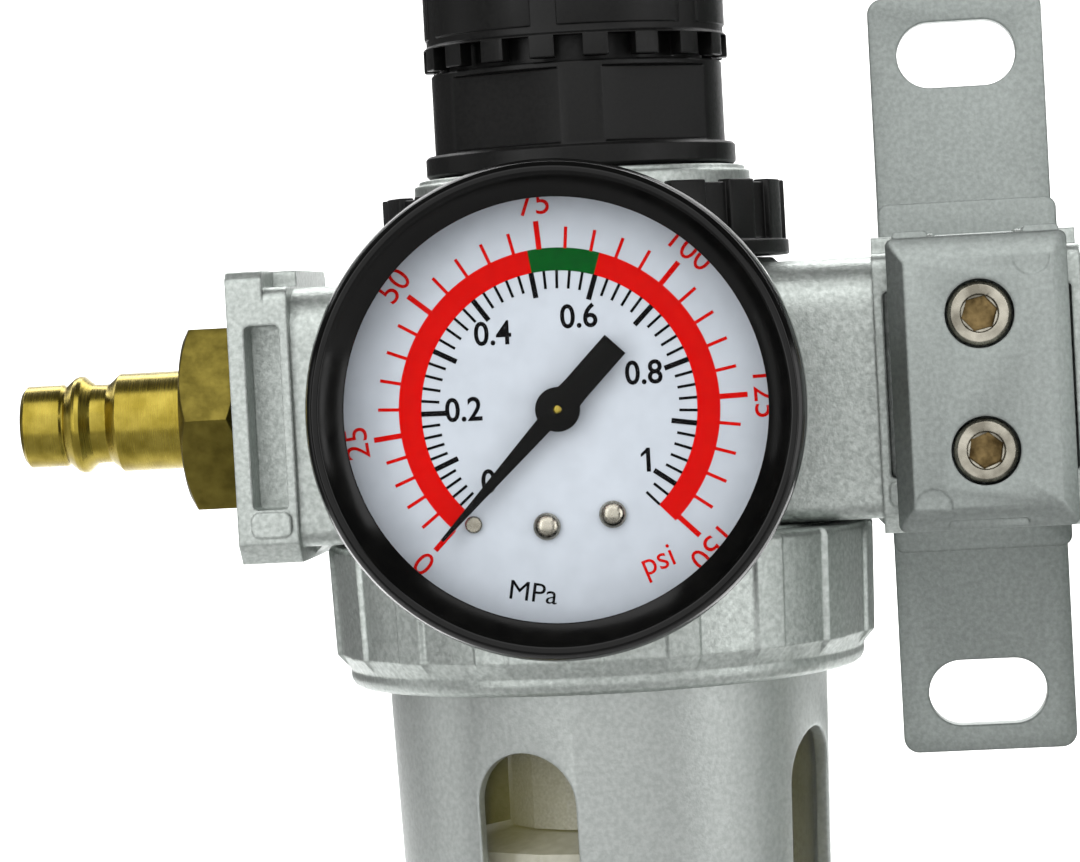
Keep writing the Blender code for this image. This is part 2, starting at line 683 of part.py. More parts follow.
def regulator_body(parent):
    """Body of the filter-regulator: necks, air ways and the two gauge ports."""
    edge = UPPER_NECK_TOP - UPPER_NECK_STEP
    top = [(TUBE_RADIUS, CAVITY_TOP), (TUBE_RADIUS, TUBE_BOTTOM), (0, TUBE_BOTTOM), (0, UPPER_NECK_TOP),
           (UPPER_NECK_RADIUS - UPPER_NECK_STEP, UPPER_NECK_TOP), (UPPER_NECK_RADIUS - UPPER_NECK_STEP, edge),
           (UPPER_NECK_RADIUS, edge), (UPPER_NECK_RADIUS, BODY_TOP)]
    body = service_body("regulator_body", parent, top)
    add(body, rod("gauge bosses", GAUGE_BOSS_RADIUS, -GAUGE_BOSS_FACE, GAUGE_BOSS_FACE, parent, turn=FRONT))
    profile = [(0, UPPER_NECK_TOP + PAST), (UPPER_NECK_BORE, UPPER_NECK_TOP + PAST),
               (UPPER_NECK_BORE, DIAPHRAGM_LEDGE), (CHAMBER_RADIUS, DIAPHRAGM_LEDGE), (CHAMBER_RADIUS, SEAT_TOP),
               (SEAT_RADIUS, SEAT_TOP), (SEAT_RADIUS, SEAT_FACE), (VALVE_BORE, SEAT_FACE),
               (VALVE_BORE, TUBE_BOTTOM - PAST), (0, TUBE_BOTTOM - PAST)]
    cut(body, turned("diaphragm and valve chambers", profile, CAST, parent, steps=BIG_STEPS))
    cut(body, turned("outlet port", port_profile(CHAMBER_RADIUS - 2), CAST, parent, turn=RIGHT))
    cut(body, turned("inlet port", port_profile(CHAMBER_RADIUS + INLET_WALL), CAST, parent, turn=LEFT))
    drop_middle = -(CHAMBER_RADIUS + INLET_WALL + CAVITY_RADIUS) / 2
    cut(body, rod("inlet drop", DROP_RADIUS, CAVITY_TOP - PAST, 0, parent, (drop_middle, 0, 0),
                  steps=SMALL_STEPS))
    reach = GAUGE_BOSS_FACE + PAST
    cut(body, rod("gauge ports", GAUGE_PORT_RADIUS, -reach, reach, parent, turn=FRONT, steps=SMALL_STEPS))
    return body


def regulator_top(parent):
    """Panel nut, bonnet, knob, screw, spring and diaphragm."""
    pitch = 360 / NUT_GROOVES
    grooved = []
    for i in range(NUT_GROOVES):
        for part, radius in ((0, NUT_RADIUS), (0.5, NUT_RADIUS), (0.55, NUT_RADIUS - NUT_GROOVE),
                             (0.95, NUT_RADIUS - NUT_GROOVE)):
            grooved.append(((i + part) * pitch, radius))
    low = BODY_TOP + GAP
    high = low + NUT_HEIGHT
    bore = same_radius(grooved, UPPER_NECK_RADIUS + GAP)
    lip = same_radius(grooved, NUT_LIP_RADIUS)
    loops = [wheel(bore, low), wheel(lip, low), wheel(lip, low + NUT_LIP), wheel(grooved, low + NUT_LIP + 0.2),
             wheel(grooved, high), wheel(bore, high)]
    lofted("panel_nut", loops, BLACK, parent, capped=False)

    half_angle = math.degrees(math.acos(BONNET_FLAT / BONNET_RADIUS))
    front = BONNET_TURN - 90
    flats = []
    for middle in (front, front + 180):
        for side in (-1, 1):
            place = middle + side * BONNET_SPREAD
            for part in (-1, -0.4, 0.4, 1):
                angle = part * half_angle
                flats.append((place + angle, BONNET_FLAT / math.cos(math.radians(angle))))
            round_part = (2 * BONNET_SPREAD if side < 0 else 180 - 2 * BONNET_SPREAD) - 2 * half_angle
            steps = math.ceil(round_part / BONNET_STEP)
            flats += [(place + half_angle + i * round_part / steps, BONNET_RADIUS) for i in range(1, steps)]
    flange_low = UPPER_NECK_TOP + GAP
    flange_high = flange_low + BONNET_FLANGE
    spigot = UPPER_NECK_BORE - GAP
    spigot_low = DIAPHRAGM_LEDGE + GAP + DIAPHRAGM_THICK + GAP

    def round_loop(radius, height):
        return wheel(same_radius(flats, radius), height)

    loops = [round_loop(BONNET_BORE, spigot_low), round_loop(spigot, spigot_low), round_loop(spigot, flange_low),
             round_loop(BONNET_FLANGE_RADIUS, flange_low), round_loop(BONNET_FLANGE_RADIUS, flange_high),
             wheel(flats, flange_high), wheel(flats, BONNET_FLAT_TOP - 0.8),
             round_loop(BONNET_RADIUS, BONNET_FLAT_TOP), round_loop(BONNET_TUBE_RADIUS, BONNET_FLAT_TOP),
             round_loop(BONNET_TUBE_RADIUS, BONNET_TOP), round_loop(SCREW_RADIUS + GAP, BONNET_TOP),
             round_loop(SCREW_RADIUS + GAP, BONNET_TOP - BONNET_ROOF),
             round_loop(BONNET_BORE, BONNET_TOP - BONNET_ROOF)]
    lofted("bonnet", loops, BLACK, parent, capped=False)

    socket = SCREW_HEX + GAP
    socket_top = KNOB_TOP - 6
    boss = SCREW_HEX + 3.5
    bore = KNOB_RADIUS - KNOB_WALL
    profile = [(0, KNOB_TOP - 1.2), (KNOB_RADIUS - 5, KNOB_TOP - 1.2), (KNOB_RADIUS - 4.4, KNOB_TOP)]
    profile += [(KNOB_RADIUS - 2.5 + x, KNOB_TOP - 2.5 + y) for x, y in arc((0, 0), 2.5, 90, 0, 2)]
    skirt_top = KNOB_BOTTOM + KNOB_SKIRT
    profile += [(KNOB_RADIUS, skirt_top), (KNOB_SKIRT_RADIUS, skirt_top - 0.3), (KNOB_SKIRT_RADIUS, KNOB_BOTTOM),
                (bore, KNOB_BOTTOM), (bore, KNOB_TOP - 4), (boss, KNOB_TOP - 4), (boss, BONNET_TOP + 1),
                (0, BONNET_TOP + 1)]
    knob = turned("adjusting_knob", profile, BLACK, parent, steps=BIG_STEPS)
    hexagon = polygon(6, socket)
    cut(knob, prism("drive socket", hexagon, BONNET_TOP, socket_top, BLACK, parent))
    width = 2 * KNOB_SKIRT_RADIUS * math.sin(math.radians(KNOB_WINDOW_ANGLE / 2))
    size = (width, 2 * KNOB_SKIRT_RADIUS - 2 * bore + 1, KNOB_WINDOW_HEIGHT + PAST)
    height = KNOB_BOTTOM + (KNOB_WINDOW_HEIGHT - PAST) / 2
    places = [(0, -(KNOB_SKIRT_RADIUS + bore) / 2, height, KNOB_WINDOW_TURN + i * 360 / KNOB_WINDOWS)
              for i in range(KNOB_WINDOWS)]
    cut(knob, slabs("skirt windows", [size] * KNOB_WINDOWS, places, parent))

    hexagon_low = BONNET_TOP + 2
    collar_top = BONNET_TOP - BONNET_ROOF - GAP
    profile = [(0, hexagon_low + 0.5), (SCREW_RADIUS, hexagon_low + 0.5), (SCREW_RADIUS, collar_top),
               (SCREW_COLLAR_RADIUS, collar_top), (SCREW_COLLAR_RADIUS, collar_top - 2),
               (SCREW_RADIUS, collar_top - 2), (SCREW_RADIUS, SCREW_LOW + 1), (SCREW_RADIUS - 1, SCREW_LOW),
               (0, SCREW_LOW)]
    screw = turned("adjusting_screw", profile, STEEL, parent)
    add(screw, prism("drive hexagon", polygon(6, SCREW_HEX), hexagon_low, socket_top - 2, STEEL, parent))

    seat_top = SEAT_PLACE + SEAT_THICK
    hole = SCREW_RADIUS + GAP
    profile = [(hole, seat_top + 3), (hole + 3, seat_top + 3), (hole + 3, seat_top),
               (BONNET_BORE - GAP, seat_top), (BONNET_BORE - GAP, SEAT_PLACE), (hole, SEAT_PLACE)]
    turned("spring_seat", profile, STEEL, parent)

    plate_low = DIAPHRAGM_LEDGE + GAP + DIAPHRAGM_THICK + VALVE_TRAVEL + GAP
    plate_high = plate_low + PLATE_THICK
    profile = [(1.2, plate_high), (PLATE_RADIUS, plate_high), (PLATE_RADIUS, plate_low), (PLATE_HUB, plate_low),
               (PLATE_HUB, DIAPHRAGM_LEDGE), (0, DIAPHRAGM_LEDGE), (0, DIAPHRAGM_LEDGE + 1.5),
               (1.2, DIAPHRAGM_LEDGE + 1.5)]
    turned("diaphragm_plate", profile, CAST, parent)
    rubber_low = DIAPHRAGM_LEDGE + GAP
    profile = [(PLATE_HUB + GAP, rubber_low + DIAPHRAGM_THICK), (spigot, rubber_low + DIAPHRAGM_THICK),
               (spigot, rubber_low), (PLATE_HUB + GAP, rubber_low)]
    turned("diaphragm", profile, RUBBER, parent)
    coil("adjusting_spring", SPRING_RADIUS, SPRING_WIRE, plate_high + GAP, SEAT_PLACE - GAP, SPRING_TURNS, 0, parent)


def regulator_inside(parent):
    """Valve, guide, swirl vanes, filter element and baffle."""
    pin_top = DIAPHRAGM_LEDGE - GAP
    top = SEAT_FACE - GAP
    low = top - POPPET_THICK
    profile = [(0, pin_top), (PIN_RADIUS, pin_top), (PIN_RADIUS, top), (POPPET_RADIUS, top), (POPPET_RADIUS, low),
               (TAIL_RADIUS, low), (TAIL_RADIUS, TAIL_BOTTOM), (0, TAIL_BOTTOM)]
    turned("valve_stem", profile, BRASS, parent)
    guide_low = GUIDE_TOP - GUIDE_THICK
    boss_top = TAIL_BOTTOM + 2.0
    element_top = TUBE_BOTTOM - GAP
    element_low = element_top - ELEMENT_LENGTH
    baffle_low = element_low - GAP - 1.6
    stud_low = baffle_low - 6
    hole = TAIL_RADIUS + GAP
    profile = [(hole, boss_top), (GUIDE_BOSS, boss_top), (GUIDE_BOSS, GUIDE_TOP), (VALVE_BORE - GAP, GUIDE_TOP),
               (VALVE_BORE - GAP, guide_low), (STUD_RADIUS, guide_low), (STUD_RADIUS, stud_low), (0, stud_low),
               (0, guide_low + 1), (hole, guide_low + 1)]
    guide = turned("valve_guide", profile, WHITE, parent)
    middle = (GUIDE_BOSS + VALVE_BORE - GAP) / 2
    for i in range(GUIDE_HOLES):
        angle = 2 * math.pi * i / GUIDE_HOLES
        place = (middle * math.cos(angle), middle * math.sin(angle), 0)
        cut(guide, rod(f"guide hole {i}", GUIDE_HOLE_RADIUS, guide_low - 1, GUIDE_TOP + 1, parent, place, steps=8))
    coil("valve_spring", VALVE_SPRING_RADIUS, VALVE_SPRING_WIRE, GUIDE_TOP + GAP, low - GAP, VALVE_SPRING_TURNS,
         0, parent)

    pitch = 360 / DEFLECTOR_VANES
    vanes = []
    for i in range(DEFLECTOR_VANES):
        for part, radius in ((0, DEFLECTOR_ROOT), (0.3, DEFLECTOR_ROOT), (0.45, DEFLECTOR_RADIUS),
                             (0.75, DEFLECTOR_RADIUS)):
            vanes.append(((i + part) * pitch, radius))
    low = DEFLECTOR_TOP - DEFLECTOR_HEIGHT
    bore = TUBE_RADIUS + GAP
    loops = [wheel(same_radius(vanes, bore), low)]
    for i in range(3):
        twist = DEFLECTOR_TWIST * i / 2
        loops.append(wheel([(angle + twist, radius) for angle, radius in vanes], low + DEFLECTOR_HEIGHT * i / 2))
    turned_bore = [(angle + DEFLECTOR_TWIST, bore) for angle, _ in vanes]
    loops.append(wheel(turned_bore, DEFLECTOR_TOP))
    lofted("deflector", loops, WHITE, parent, capped=False)

    profile = [(ELEMENT_BORE, element_top), (ELEMENT_RADIUS, element_top), (ELEMENT_RADIUS, element_low),
               (ELEMENT_BORE, element_low)]
    turned("filter_element", profile, POROUS, parent)
    skirt = baffle_low - BAFFLE_HEIGHT
    hole = STUD_RADIUS + GAP
    profile = [(hole, element_low - GAP), (ELEMENT_RADIUS, element_low - GAP), (BAFFLE_RADIUS, baffle_low),
               (BAFFLE_RADIUS, skirt), (BAFFLE_RADIUS - 1.4, skirt), (BAFFLE_RADIUS - 1.4, baffle_low - 1.2),
               (ELEMENT_RADIUS, baffle_low - 0.8), (hole, baffle_low)]
    turned("filter_baffle", profile, WHITE, parent)


def plug_in_port(name, parent, look):
    """Socket plug for the spare gauge port at the back."""
    face = GAUGE_BOSS_FACE + GAP
    profile = [(0, face + 3), (5, face + 3), (6, face + 2.4), (6, face), (GAUGE_PORT_RADIUS - GAP, face),
               (GAUGE_PORT_RADIUS - GAP, face - 9), (0, face - 9)]
    back = (math.pi / 2, 0, math.pi)
    plug = turned(name, profile, look, parent, turn=back)
    cut(plug, prism(name + " socket", polygon(6, 2.5), face - 1, face + 4, look, parent, turn=back))


def inlet_plug(parent):
    """Brass quick-connect plug with its hexagon and the thread in the inlet."""
    face = BODY_HALF + GAP
    shank = face + PLUG_HEX_THICK
    shoulder = shank + PLUG_SHANK
    collar = shoulder + PLUG_NECK
    tip = collar + PLUG_COLLAR
    end = tip + PLUG_TIP
    thread = THREAD_BORE - GAP
    profile = [(PLUG_BORE, end), (PLUG_TIP_RADIUS - 0.5, end), (PLUG_TIP_RADIUS, end - 0.4),
               (PLUG_TIP_RADIUS, tip + 0.3), (PLUG_TIP_RADIUS - 0.35, tip),
               (PLUG_COLLAR_RADIUS - 0.4, collar + PLUG_COLLAR * 0.62),
               (PLUG_COLLAR_RADIUS, collar + PLUG_COLLAR * 0.45),
               (PLUG_COLLAR_RADIUS - 0.2, collar + PLUG_COLLAR * 0.25), (PLUG_NECK_RADIUS, collar - 0.3),
               (PLUG_NECK_RADIUS, shoulder + 0.8), (PLUG_SHANK_RADIUS - 0.5, shoulder),
               (PLUG_SHANK_RADIUS, shoulder - 0.6), (PLUG_SHANK_RADIUS, face + 1), (thread, face + 1),
               (thread, face - PLUG_THREAD_LENGTH + 1), (thread - 1, face - PLUG_THREAD_LENGTH),
               (PLUG_BORE, face - PLUG_THREAD_LENGTH)]
    plug = turned("inlet_plug", profile, BRASS, parent, turn=LEFT)
    corner = PLUG_HEX / math.cos(math.pi / 6)
    hexagon = polygon(6, PLUG_HEX)
    hexagon_piece = prism("plug hexagon", hexagon, face, shank, BRASS, parent, turn=LEFT)
    profile = [(PLUG_BORE + 1, shank + 0.01), (PLUG_HEX - 0.4, shank + 0.01), (corner + 0.1, shank - 1.1),
               (corner + 0.1, face + 1.1), (PLUG_HEX - 0.4, face - 0.01), (PLUG_BORE + 1, face - 0.01)]
    limit = turned("plug hexagon chamfer", profile, BRASS, parent, turn=LEFT, steps=24)
    use(hexagon_piece, limit, "INTERSECT")
    add(plug, hexagon_piece)


def gauge(parent):
    """Pressure gauge on the front port, drawn with its own Z towards the viewer."""
    wall = CASE_WALL
    profile = [(CASE_RADIUS, CASE_FRONT - 2), (CASE_RADIUS, CASE_BACK + 2), (CASE_RADIUS - 2, CASE_BACK),
               (STEM_BLOCK + GAP, CASE_BACK), (STEM_BLOCK + GAP, CASE_BACK + wall),
               (CASE_RADIUS - 2.4, CASE_BACK + wall), (CASE_RADIUS - wall, CASE_BACK + 2.4),
               (CASE_RADIUS - wall, CASE_FRONT - 2)]
    turned("gauge_case", profile, GLOSS, parent, turn=FRONT, steps=BIG_STEPS)
    sight = BEZEL_FRONT - BEZEL_SIGHT_DEPTH
    lens_back = sight - GAP - LENS_THICK
    hold = CASE_RADIUS + GAP
    profile = [(BEZEL_CREST_RADIUS, BEZEL_FRONT), (BEZEL_RADIUS - 0.4, BEZEL_FRONT - 0.7),
               (BEZEL_RADIUS, BEZEL_FRONT - 2.0), (BEZEL_RADIUS, BEZEL_BACK), (hold, BEZEL_BACK),
               (hold, sight - GAP), (BEZEL_SIGHT_RADIUS, sight - GAP), (BEZEL_SIGHT_RADIUS, sight)]
    turned("gauge_bezel", profile, GLOSS, parent, turn=FRONT, steps=BIG_STEPS)
    lens = CASE_RADIUS - wall - GAP
    profile = [(0, sight - 2 * GAP), (lens, sight - 2 * GAP), (lens, lens_back - GAP), (0, lens_back - GAP)]
    turned("gauge_lens", profile, GLASS, parent, turn=FRONT, steps=BIG_STEPS)
    back = DIAL_FRONT - DIAL_THICK
    hole = ARBOR_RADIUS + GAP
    profile = [(hole, DIAL_FRONT), (lens, DIAL_FRONT), (lens, back), (hole, back)]
    turned("gauge_dial", profile, DIAL, parent, turn=FRONT, steps=BIG_STEPS)

    def around(radius, angle):
        turn = math.radians(90 - angle)
        return radius * math.cos(turn), radius * math.sin(turn)

    for name, angle in DIAL_SCREW_ANGLES.items():
        x, y = around(DIAL_SCREW_CIRCLE, angle)
        low = DIAL_FRONT + GAP
        profile = [(0, low + 0.9), (DIAL_SCREW_RADIUS * 0.55, low + 0.75), (DIAL_SCREW_RADIUS * 0.9, low + 0.4),
                   (DIAL_SCREW_RADIUS, low), (0, low)]
        turned(f"dial_screw_{name}", profile, STEEL, parent, (x, 0, y), FRONT, SMALL_STEPS)
    x, y = around(STOP_PIN_CIRCLE, STOP_PIN_ANGLE)
    low = DIAL_FRONT + GAP
    reach = POINTER_LIFT - 2 * GAP
    profile = [(0, low + reach), (STOP_PIN_RADIUS, low + reach - 0.1), (STOP_PIN_RADIUS, low), (0, low)]
    turned("gauge_stop_pin", profile, STEEL, parent, (x, 0, y), FRONT, SMALL_STEPS)

    arm_low = DIAL_FRONT + GAP + POINTER_LIFT
    outline = [(-0.2, POINTER_LENGTH), (-0.95, POINTER_HUB * 0.8)]
    outline += arc((0, 0), POINTER_HUB, 112, 230, 5)
    half = POINTER_TAIL_WIDTH / 2
    outline += [(-half, -POINTER_HUB - 0.6), (-half, -POINTER_TAIL), (half, -POINTER_TAIL),
                (half, -POINTER_HUB - 0.6)]
    outline += arc((0, 0), POINTER_HUB, 310, 428, 5)
    outline += [(0.95, POINTER_HUB * 0.8), (0.2, POINTER_LENGTH)]
    pointer = prism("gauge_pointer", swung(outline, -POINTER_ZERO), arm_low, arm_low + POINTER_THICK, BLACK, parent,
                    turn=FRONT)
    arbor_low = back - 4
    add(pointer, rod("pointer arbor", ARBOR_RADIUS, arbor_low, arm_low + POINTER_THICK + 0.4, parent, turn=FRONT,
                     steps=12))

    block_high = CASE_BACK + 12
    face = GAUGE_BOSS_FACE + GAP
    thread = GAUGE_PORT_RADIUS - GAP
    profile = [(1.2, block_high - 2), (STEM_BLOCK, block_high - 2), (STEM_BLOCK, face + 1), (thread, face + 1),
               (thread, face - STEM_THREAD_LENGTH), (1.2, face - STEM_THREAD_LENGTH)]
    stem = turned("gauge_stem", profile, BRASS, parent, turn=FRONT)
    add(stem, prism("stem hexagon", polygon(6, STEM_HEX), face, CASE_BACK - GAP, BRASS, parent, turn=FRONT))
    height = CASE_BACK + BOURDON_DEPTH
    reach = BOURDON_RADIUS + BOURDON_THICK
    socket = [(STEM_BLOCK - 2, GAP), (reach, GAP), (reach, GAP + SOCKET_WIDTH), (STEM_BLOCK - 2, GAP + SOCKET_WIDTH)]
    add(stem, prism("tube socket", swung(socket, BOURDON_START), height - SOCKET_HEIGHT / 2,
                    height + SOCKET_HEIGHT / 2, BRASS, parent, turn=FRONT))

    thick = BOURDON_THICK / 2
    wide = BOURDON_WIDE / 2
    section = [(thick, -wide * 0.6), (thick, wide * 0.6), (0, wide), (-thick, wide * 0.6), (-thick, -wide * 0.6),
               (0, -wide)]
    loops = []
    bends = 12
    for i in range(bends + 1):
        angle = math.radians(BOURDON_START - BOURDON_SWEEP * i / bends)
        loops.append([((BOURDON_RADIUS + x) * math.cos(angle), (BOURDON_RADIUS + x) * math.sin(angle), height + y)
                      for x, y in section])
    lofted("bourdon_tube", loops, BRASS, parent, turn=FRONT)

    ratio_radius = ARBOR_RADIUS * SECTOR_RATIO
    pivot = -(ratio_radius + ARBOR_RADIUS + GAP)
    outline = arc((0, 0), ratio_radius, 90 - POINTER_SWEEP / SECTOR_RATIO - 5, 98, 8)
    outline += arc((0, 0), 1.3, 150, 390, 6)
    sector_low = back - 3.2
    lofted("gauge_sector", [level(outline, sector_low), level(outline, sector_low + 0.8)], BRASS, parent,
           (0, 0, pivot), FRONT)


def joint(parent):
    """Tee bracket, front clamp, screws and face seals."""
    half = SPACER_THICK / 2
    rear = WALL_TO_AXIS
    core = rounded(-SPACER_FRONT, -SPACER_HALF_HEIGHT, BLOCK_FRONT + 2, SPACER_HALF_HEIGHT, (1, 1, 1, 1))
    bracket = prism("tee_bracket", core, -half, half, CAST, parent, turn=RIGHT)
    wide = EAR_WIDTH / 2
    block = rounded(-wide, -BLOCK_HALF_HEIGHT, wide, BLOCK_HALF_HEIGHT, (1, 1, 1, 1))
    add(bracket, prism("rear block", block, -rear + 0.5, -BLOCK_FRONT, CAST, parent, turn=FRONT))
    ears = rounded(-wide, -EAR_HALF_LENGTH, wide, EAR_HALF_LENGTH, [EAR_ROUND] * 4)
    add(bracket, prism("ears", ears, -rear, -rear + EAR_THICK, CAST, parent, turn=FRONT))
    jaw_middle = half + GAP + POCKET_START + POCKET_WIDTH / 2
    jaw_size = (JAW_WIDTH, JAW_DEPTH + OVERLAP, 2 * POCKET_HALF_HEIGHT - 2)
    jaw_front = FLANGE_HALF_DEPTH + GAP - JAW_DEPTH + (BLOCK_FRONT - FLANGE_HALF_DEPTH - GAP)
    places = [(side * jaw_middle, jaw_front + (JAW_DEPTH + OVERLAP) / 2, 0, 0) for side in (-1, 1)]
    add(bracket, slabs("rear jaws", [jaw_size] * 2, places, parent))
    bore = rod("spacer bore", SPACER_BORE, -half - PAST, half + PAST, parent, turn=RIGHT)
    cut(bracket, bore)
    inner = wide - BLOCK_WALL
    depth = rear - BLOCK_FRONT - BLOCK_WALL
    rib = 3.0
    tall = BLOCK_HALF_HEIGHT - BLOCK_WALL - rib
    size = (2 * inner, depth + PAST, tall)
    middle = rear - depth + (depth + PAST) / 2
    places = [(0, middle, side * (rib + tall / 2), 0) for side in (-1, 1)]
    cut(bracket, slabs("rear pockets", [size] * 2, places, parent))
    reach = SLOT_LENGTH / 2 - SLOT_WIDTH / 2
    slot = arc((reach, 0), SLOT_WIDTH / 2, -90, 90, 6) + arc((-reach, 0), SLOT_WIDTH / 2, 90, 270, 6)
    for name, place in (("upper", SLOT_PLACE), ("lower", -SLOT_PLACE)):
        cut(bracket, prism(name + " slot", slot, -rear - PAST, -rear + EAR_THICK + PAST, CAST, parent,
                           (0, 0, place), FRONT))
    for name, place in (("upper", CLAMP_SCREW_PLACE), ("lower", -CLAMP_SCREW_PLACE)):
        cut(bracket, rod(name + " tapped hole", SCREW_SHANK_RADIUS + GAP, SPACER_FRONT - 6.4, SPACER_FRONT + PAST,
                         parent, (0, 0, place), FRONT, SMALL_STEPS))

    back = max(SPACER_FRONT, FLANGE_HALF_DEPTH + PAD_RISE) + GAP
    high = CLAMP_HALF_HEIGHT
    wide = CLAMP_HALF_WIDTH
    bevel = CLAMP_BEVEL
    outer = rounded(-wide, -high, wide, high, [0.8] * 4, 2)
    end = high - CLAMP_END_BEVEL
    face = rounded(-wide + bevel, -end, wide - bevel, end, [0.4] * 4, 2)
    loops = [level(outer, back), level(outer, CLAMP_FRONT - bevel), level(face, CLAMP_FRONT)]
    clamp = lofted("front_clamp", loops, CAST, parent, turn=FRONT)
    places = [(side * jaw_middle, -(back - JAW_DEPTH / 2 + OVERLAP / 2), 0, 0) for side in (-1, 1)]
    add(clamp, slabs("front jaws", [(JAW_WIDTH, JAW_DEPTH + OVERLAP, 2 * POCKET_HALF_HEIGHT - 2)] * 2, places,
                     parent))
    tab = (CLAMP_TAB_WIDTH, CLAMP_FRONT - bevel - back - 1, 2 * CLAMP_TAB)
    tab_y = -(back + CLAMP_FRONT - bevel) / 2
    places = [(side * (wide - CLAMP_TAB_WIDTH / 2 - 0.8), tab_y, high, 0) for side in (-1, 1)]
    add(clamp, slabs("clamp tabs", [tab] * 2, places, parent))
    for name, place in (("upper", CLAMP_SCREW_PLACE), ("lower", -CLAMP_SCREW_PLACE)):
        floor = CLAMP_FRONT - COUNTERBORE
        profile = [(0, CLAMP_FRONT + PAST), (COUNTERBORE_RADIUS, CLAMP_FRONT + PAST), (COUNTERBORE_RADIUS, floor),
                   (SCREW_SHANK_RADIUS + GAP, floor), (SCREW_SHANK_RADIUS + GAP, back - PAST), (0, back - PAST)]
        cut(clamp, turned(name + " counterbore", profile, CAST, parent, (0, 0, place), FRONT, 16))
        head = floor + GAP
        top = head + SCREW_HEAD
        profile = [(0, top), (SCREW_HEAD_RADIUS - 0.4, top), (SCREW_HEAD_RADIUS, top - 0.4),
                   (SCREW_HEAD_RADIUS, head), (SCREW_SHANK_RADIUS, head), (SCREW_SHANK_RADIUS, head - SCREW_LENGTH),
                   (0, head - SCREW_LENGTH)]
        screw = turned("clamp_screw_" + name, profile, STEEL, parent, (0, 0, place), FRONT, 16)
        cut(screw, prism(name + " screw socket", polygon(6, SCREW_SOCKET, 12), top - SCREW_SOCKET_DEPTH,
                         top + PAST, STEEL, parent, (0, 0, place), FRONT))

    ring = [(SEAL_RADIUS, SEAL_THICK / 2), (SEAL_RADIUS, -SEAL_THICK / 2),
            (SEAL_RADIUS - 1.8, -SEAL_THICK / 2), (SEAL_RADIUS - 1.8, SEAL_THICK / 2)]
    groove = [(SEAL_RADIUS + GAP, PAST), (SEAL_RADIUS + GAP, -SEAL_THICK), (SEAL_RADIUS - 1.8 - GAP, -SEAL_THICK),
              (SEAL_RADIUS - 1.8 - GAP, PAST)]
    for name, side, turn in (("left", -1, LEFT), ("right", 1, RIGHT)):
        cut(bracket, turned(name + " seal groove", groove, CAST, parent, (side * half, 0, 0), turn))
        place = (side * (half - SEAL_THICK / 2 + GAP / 2), 0, 0)
        turned("joint_seal_" + name, ring, RUBBER, parent, place, turn)


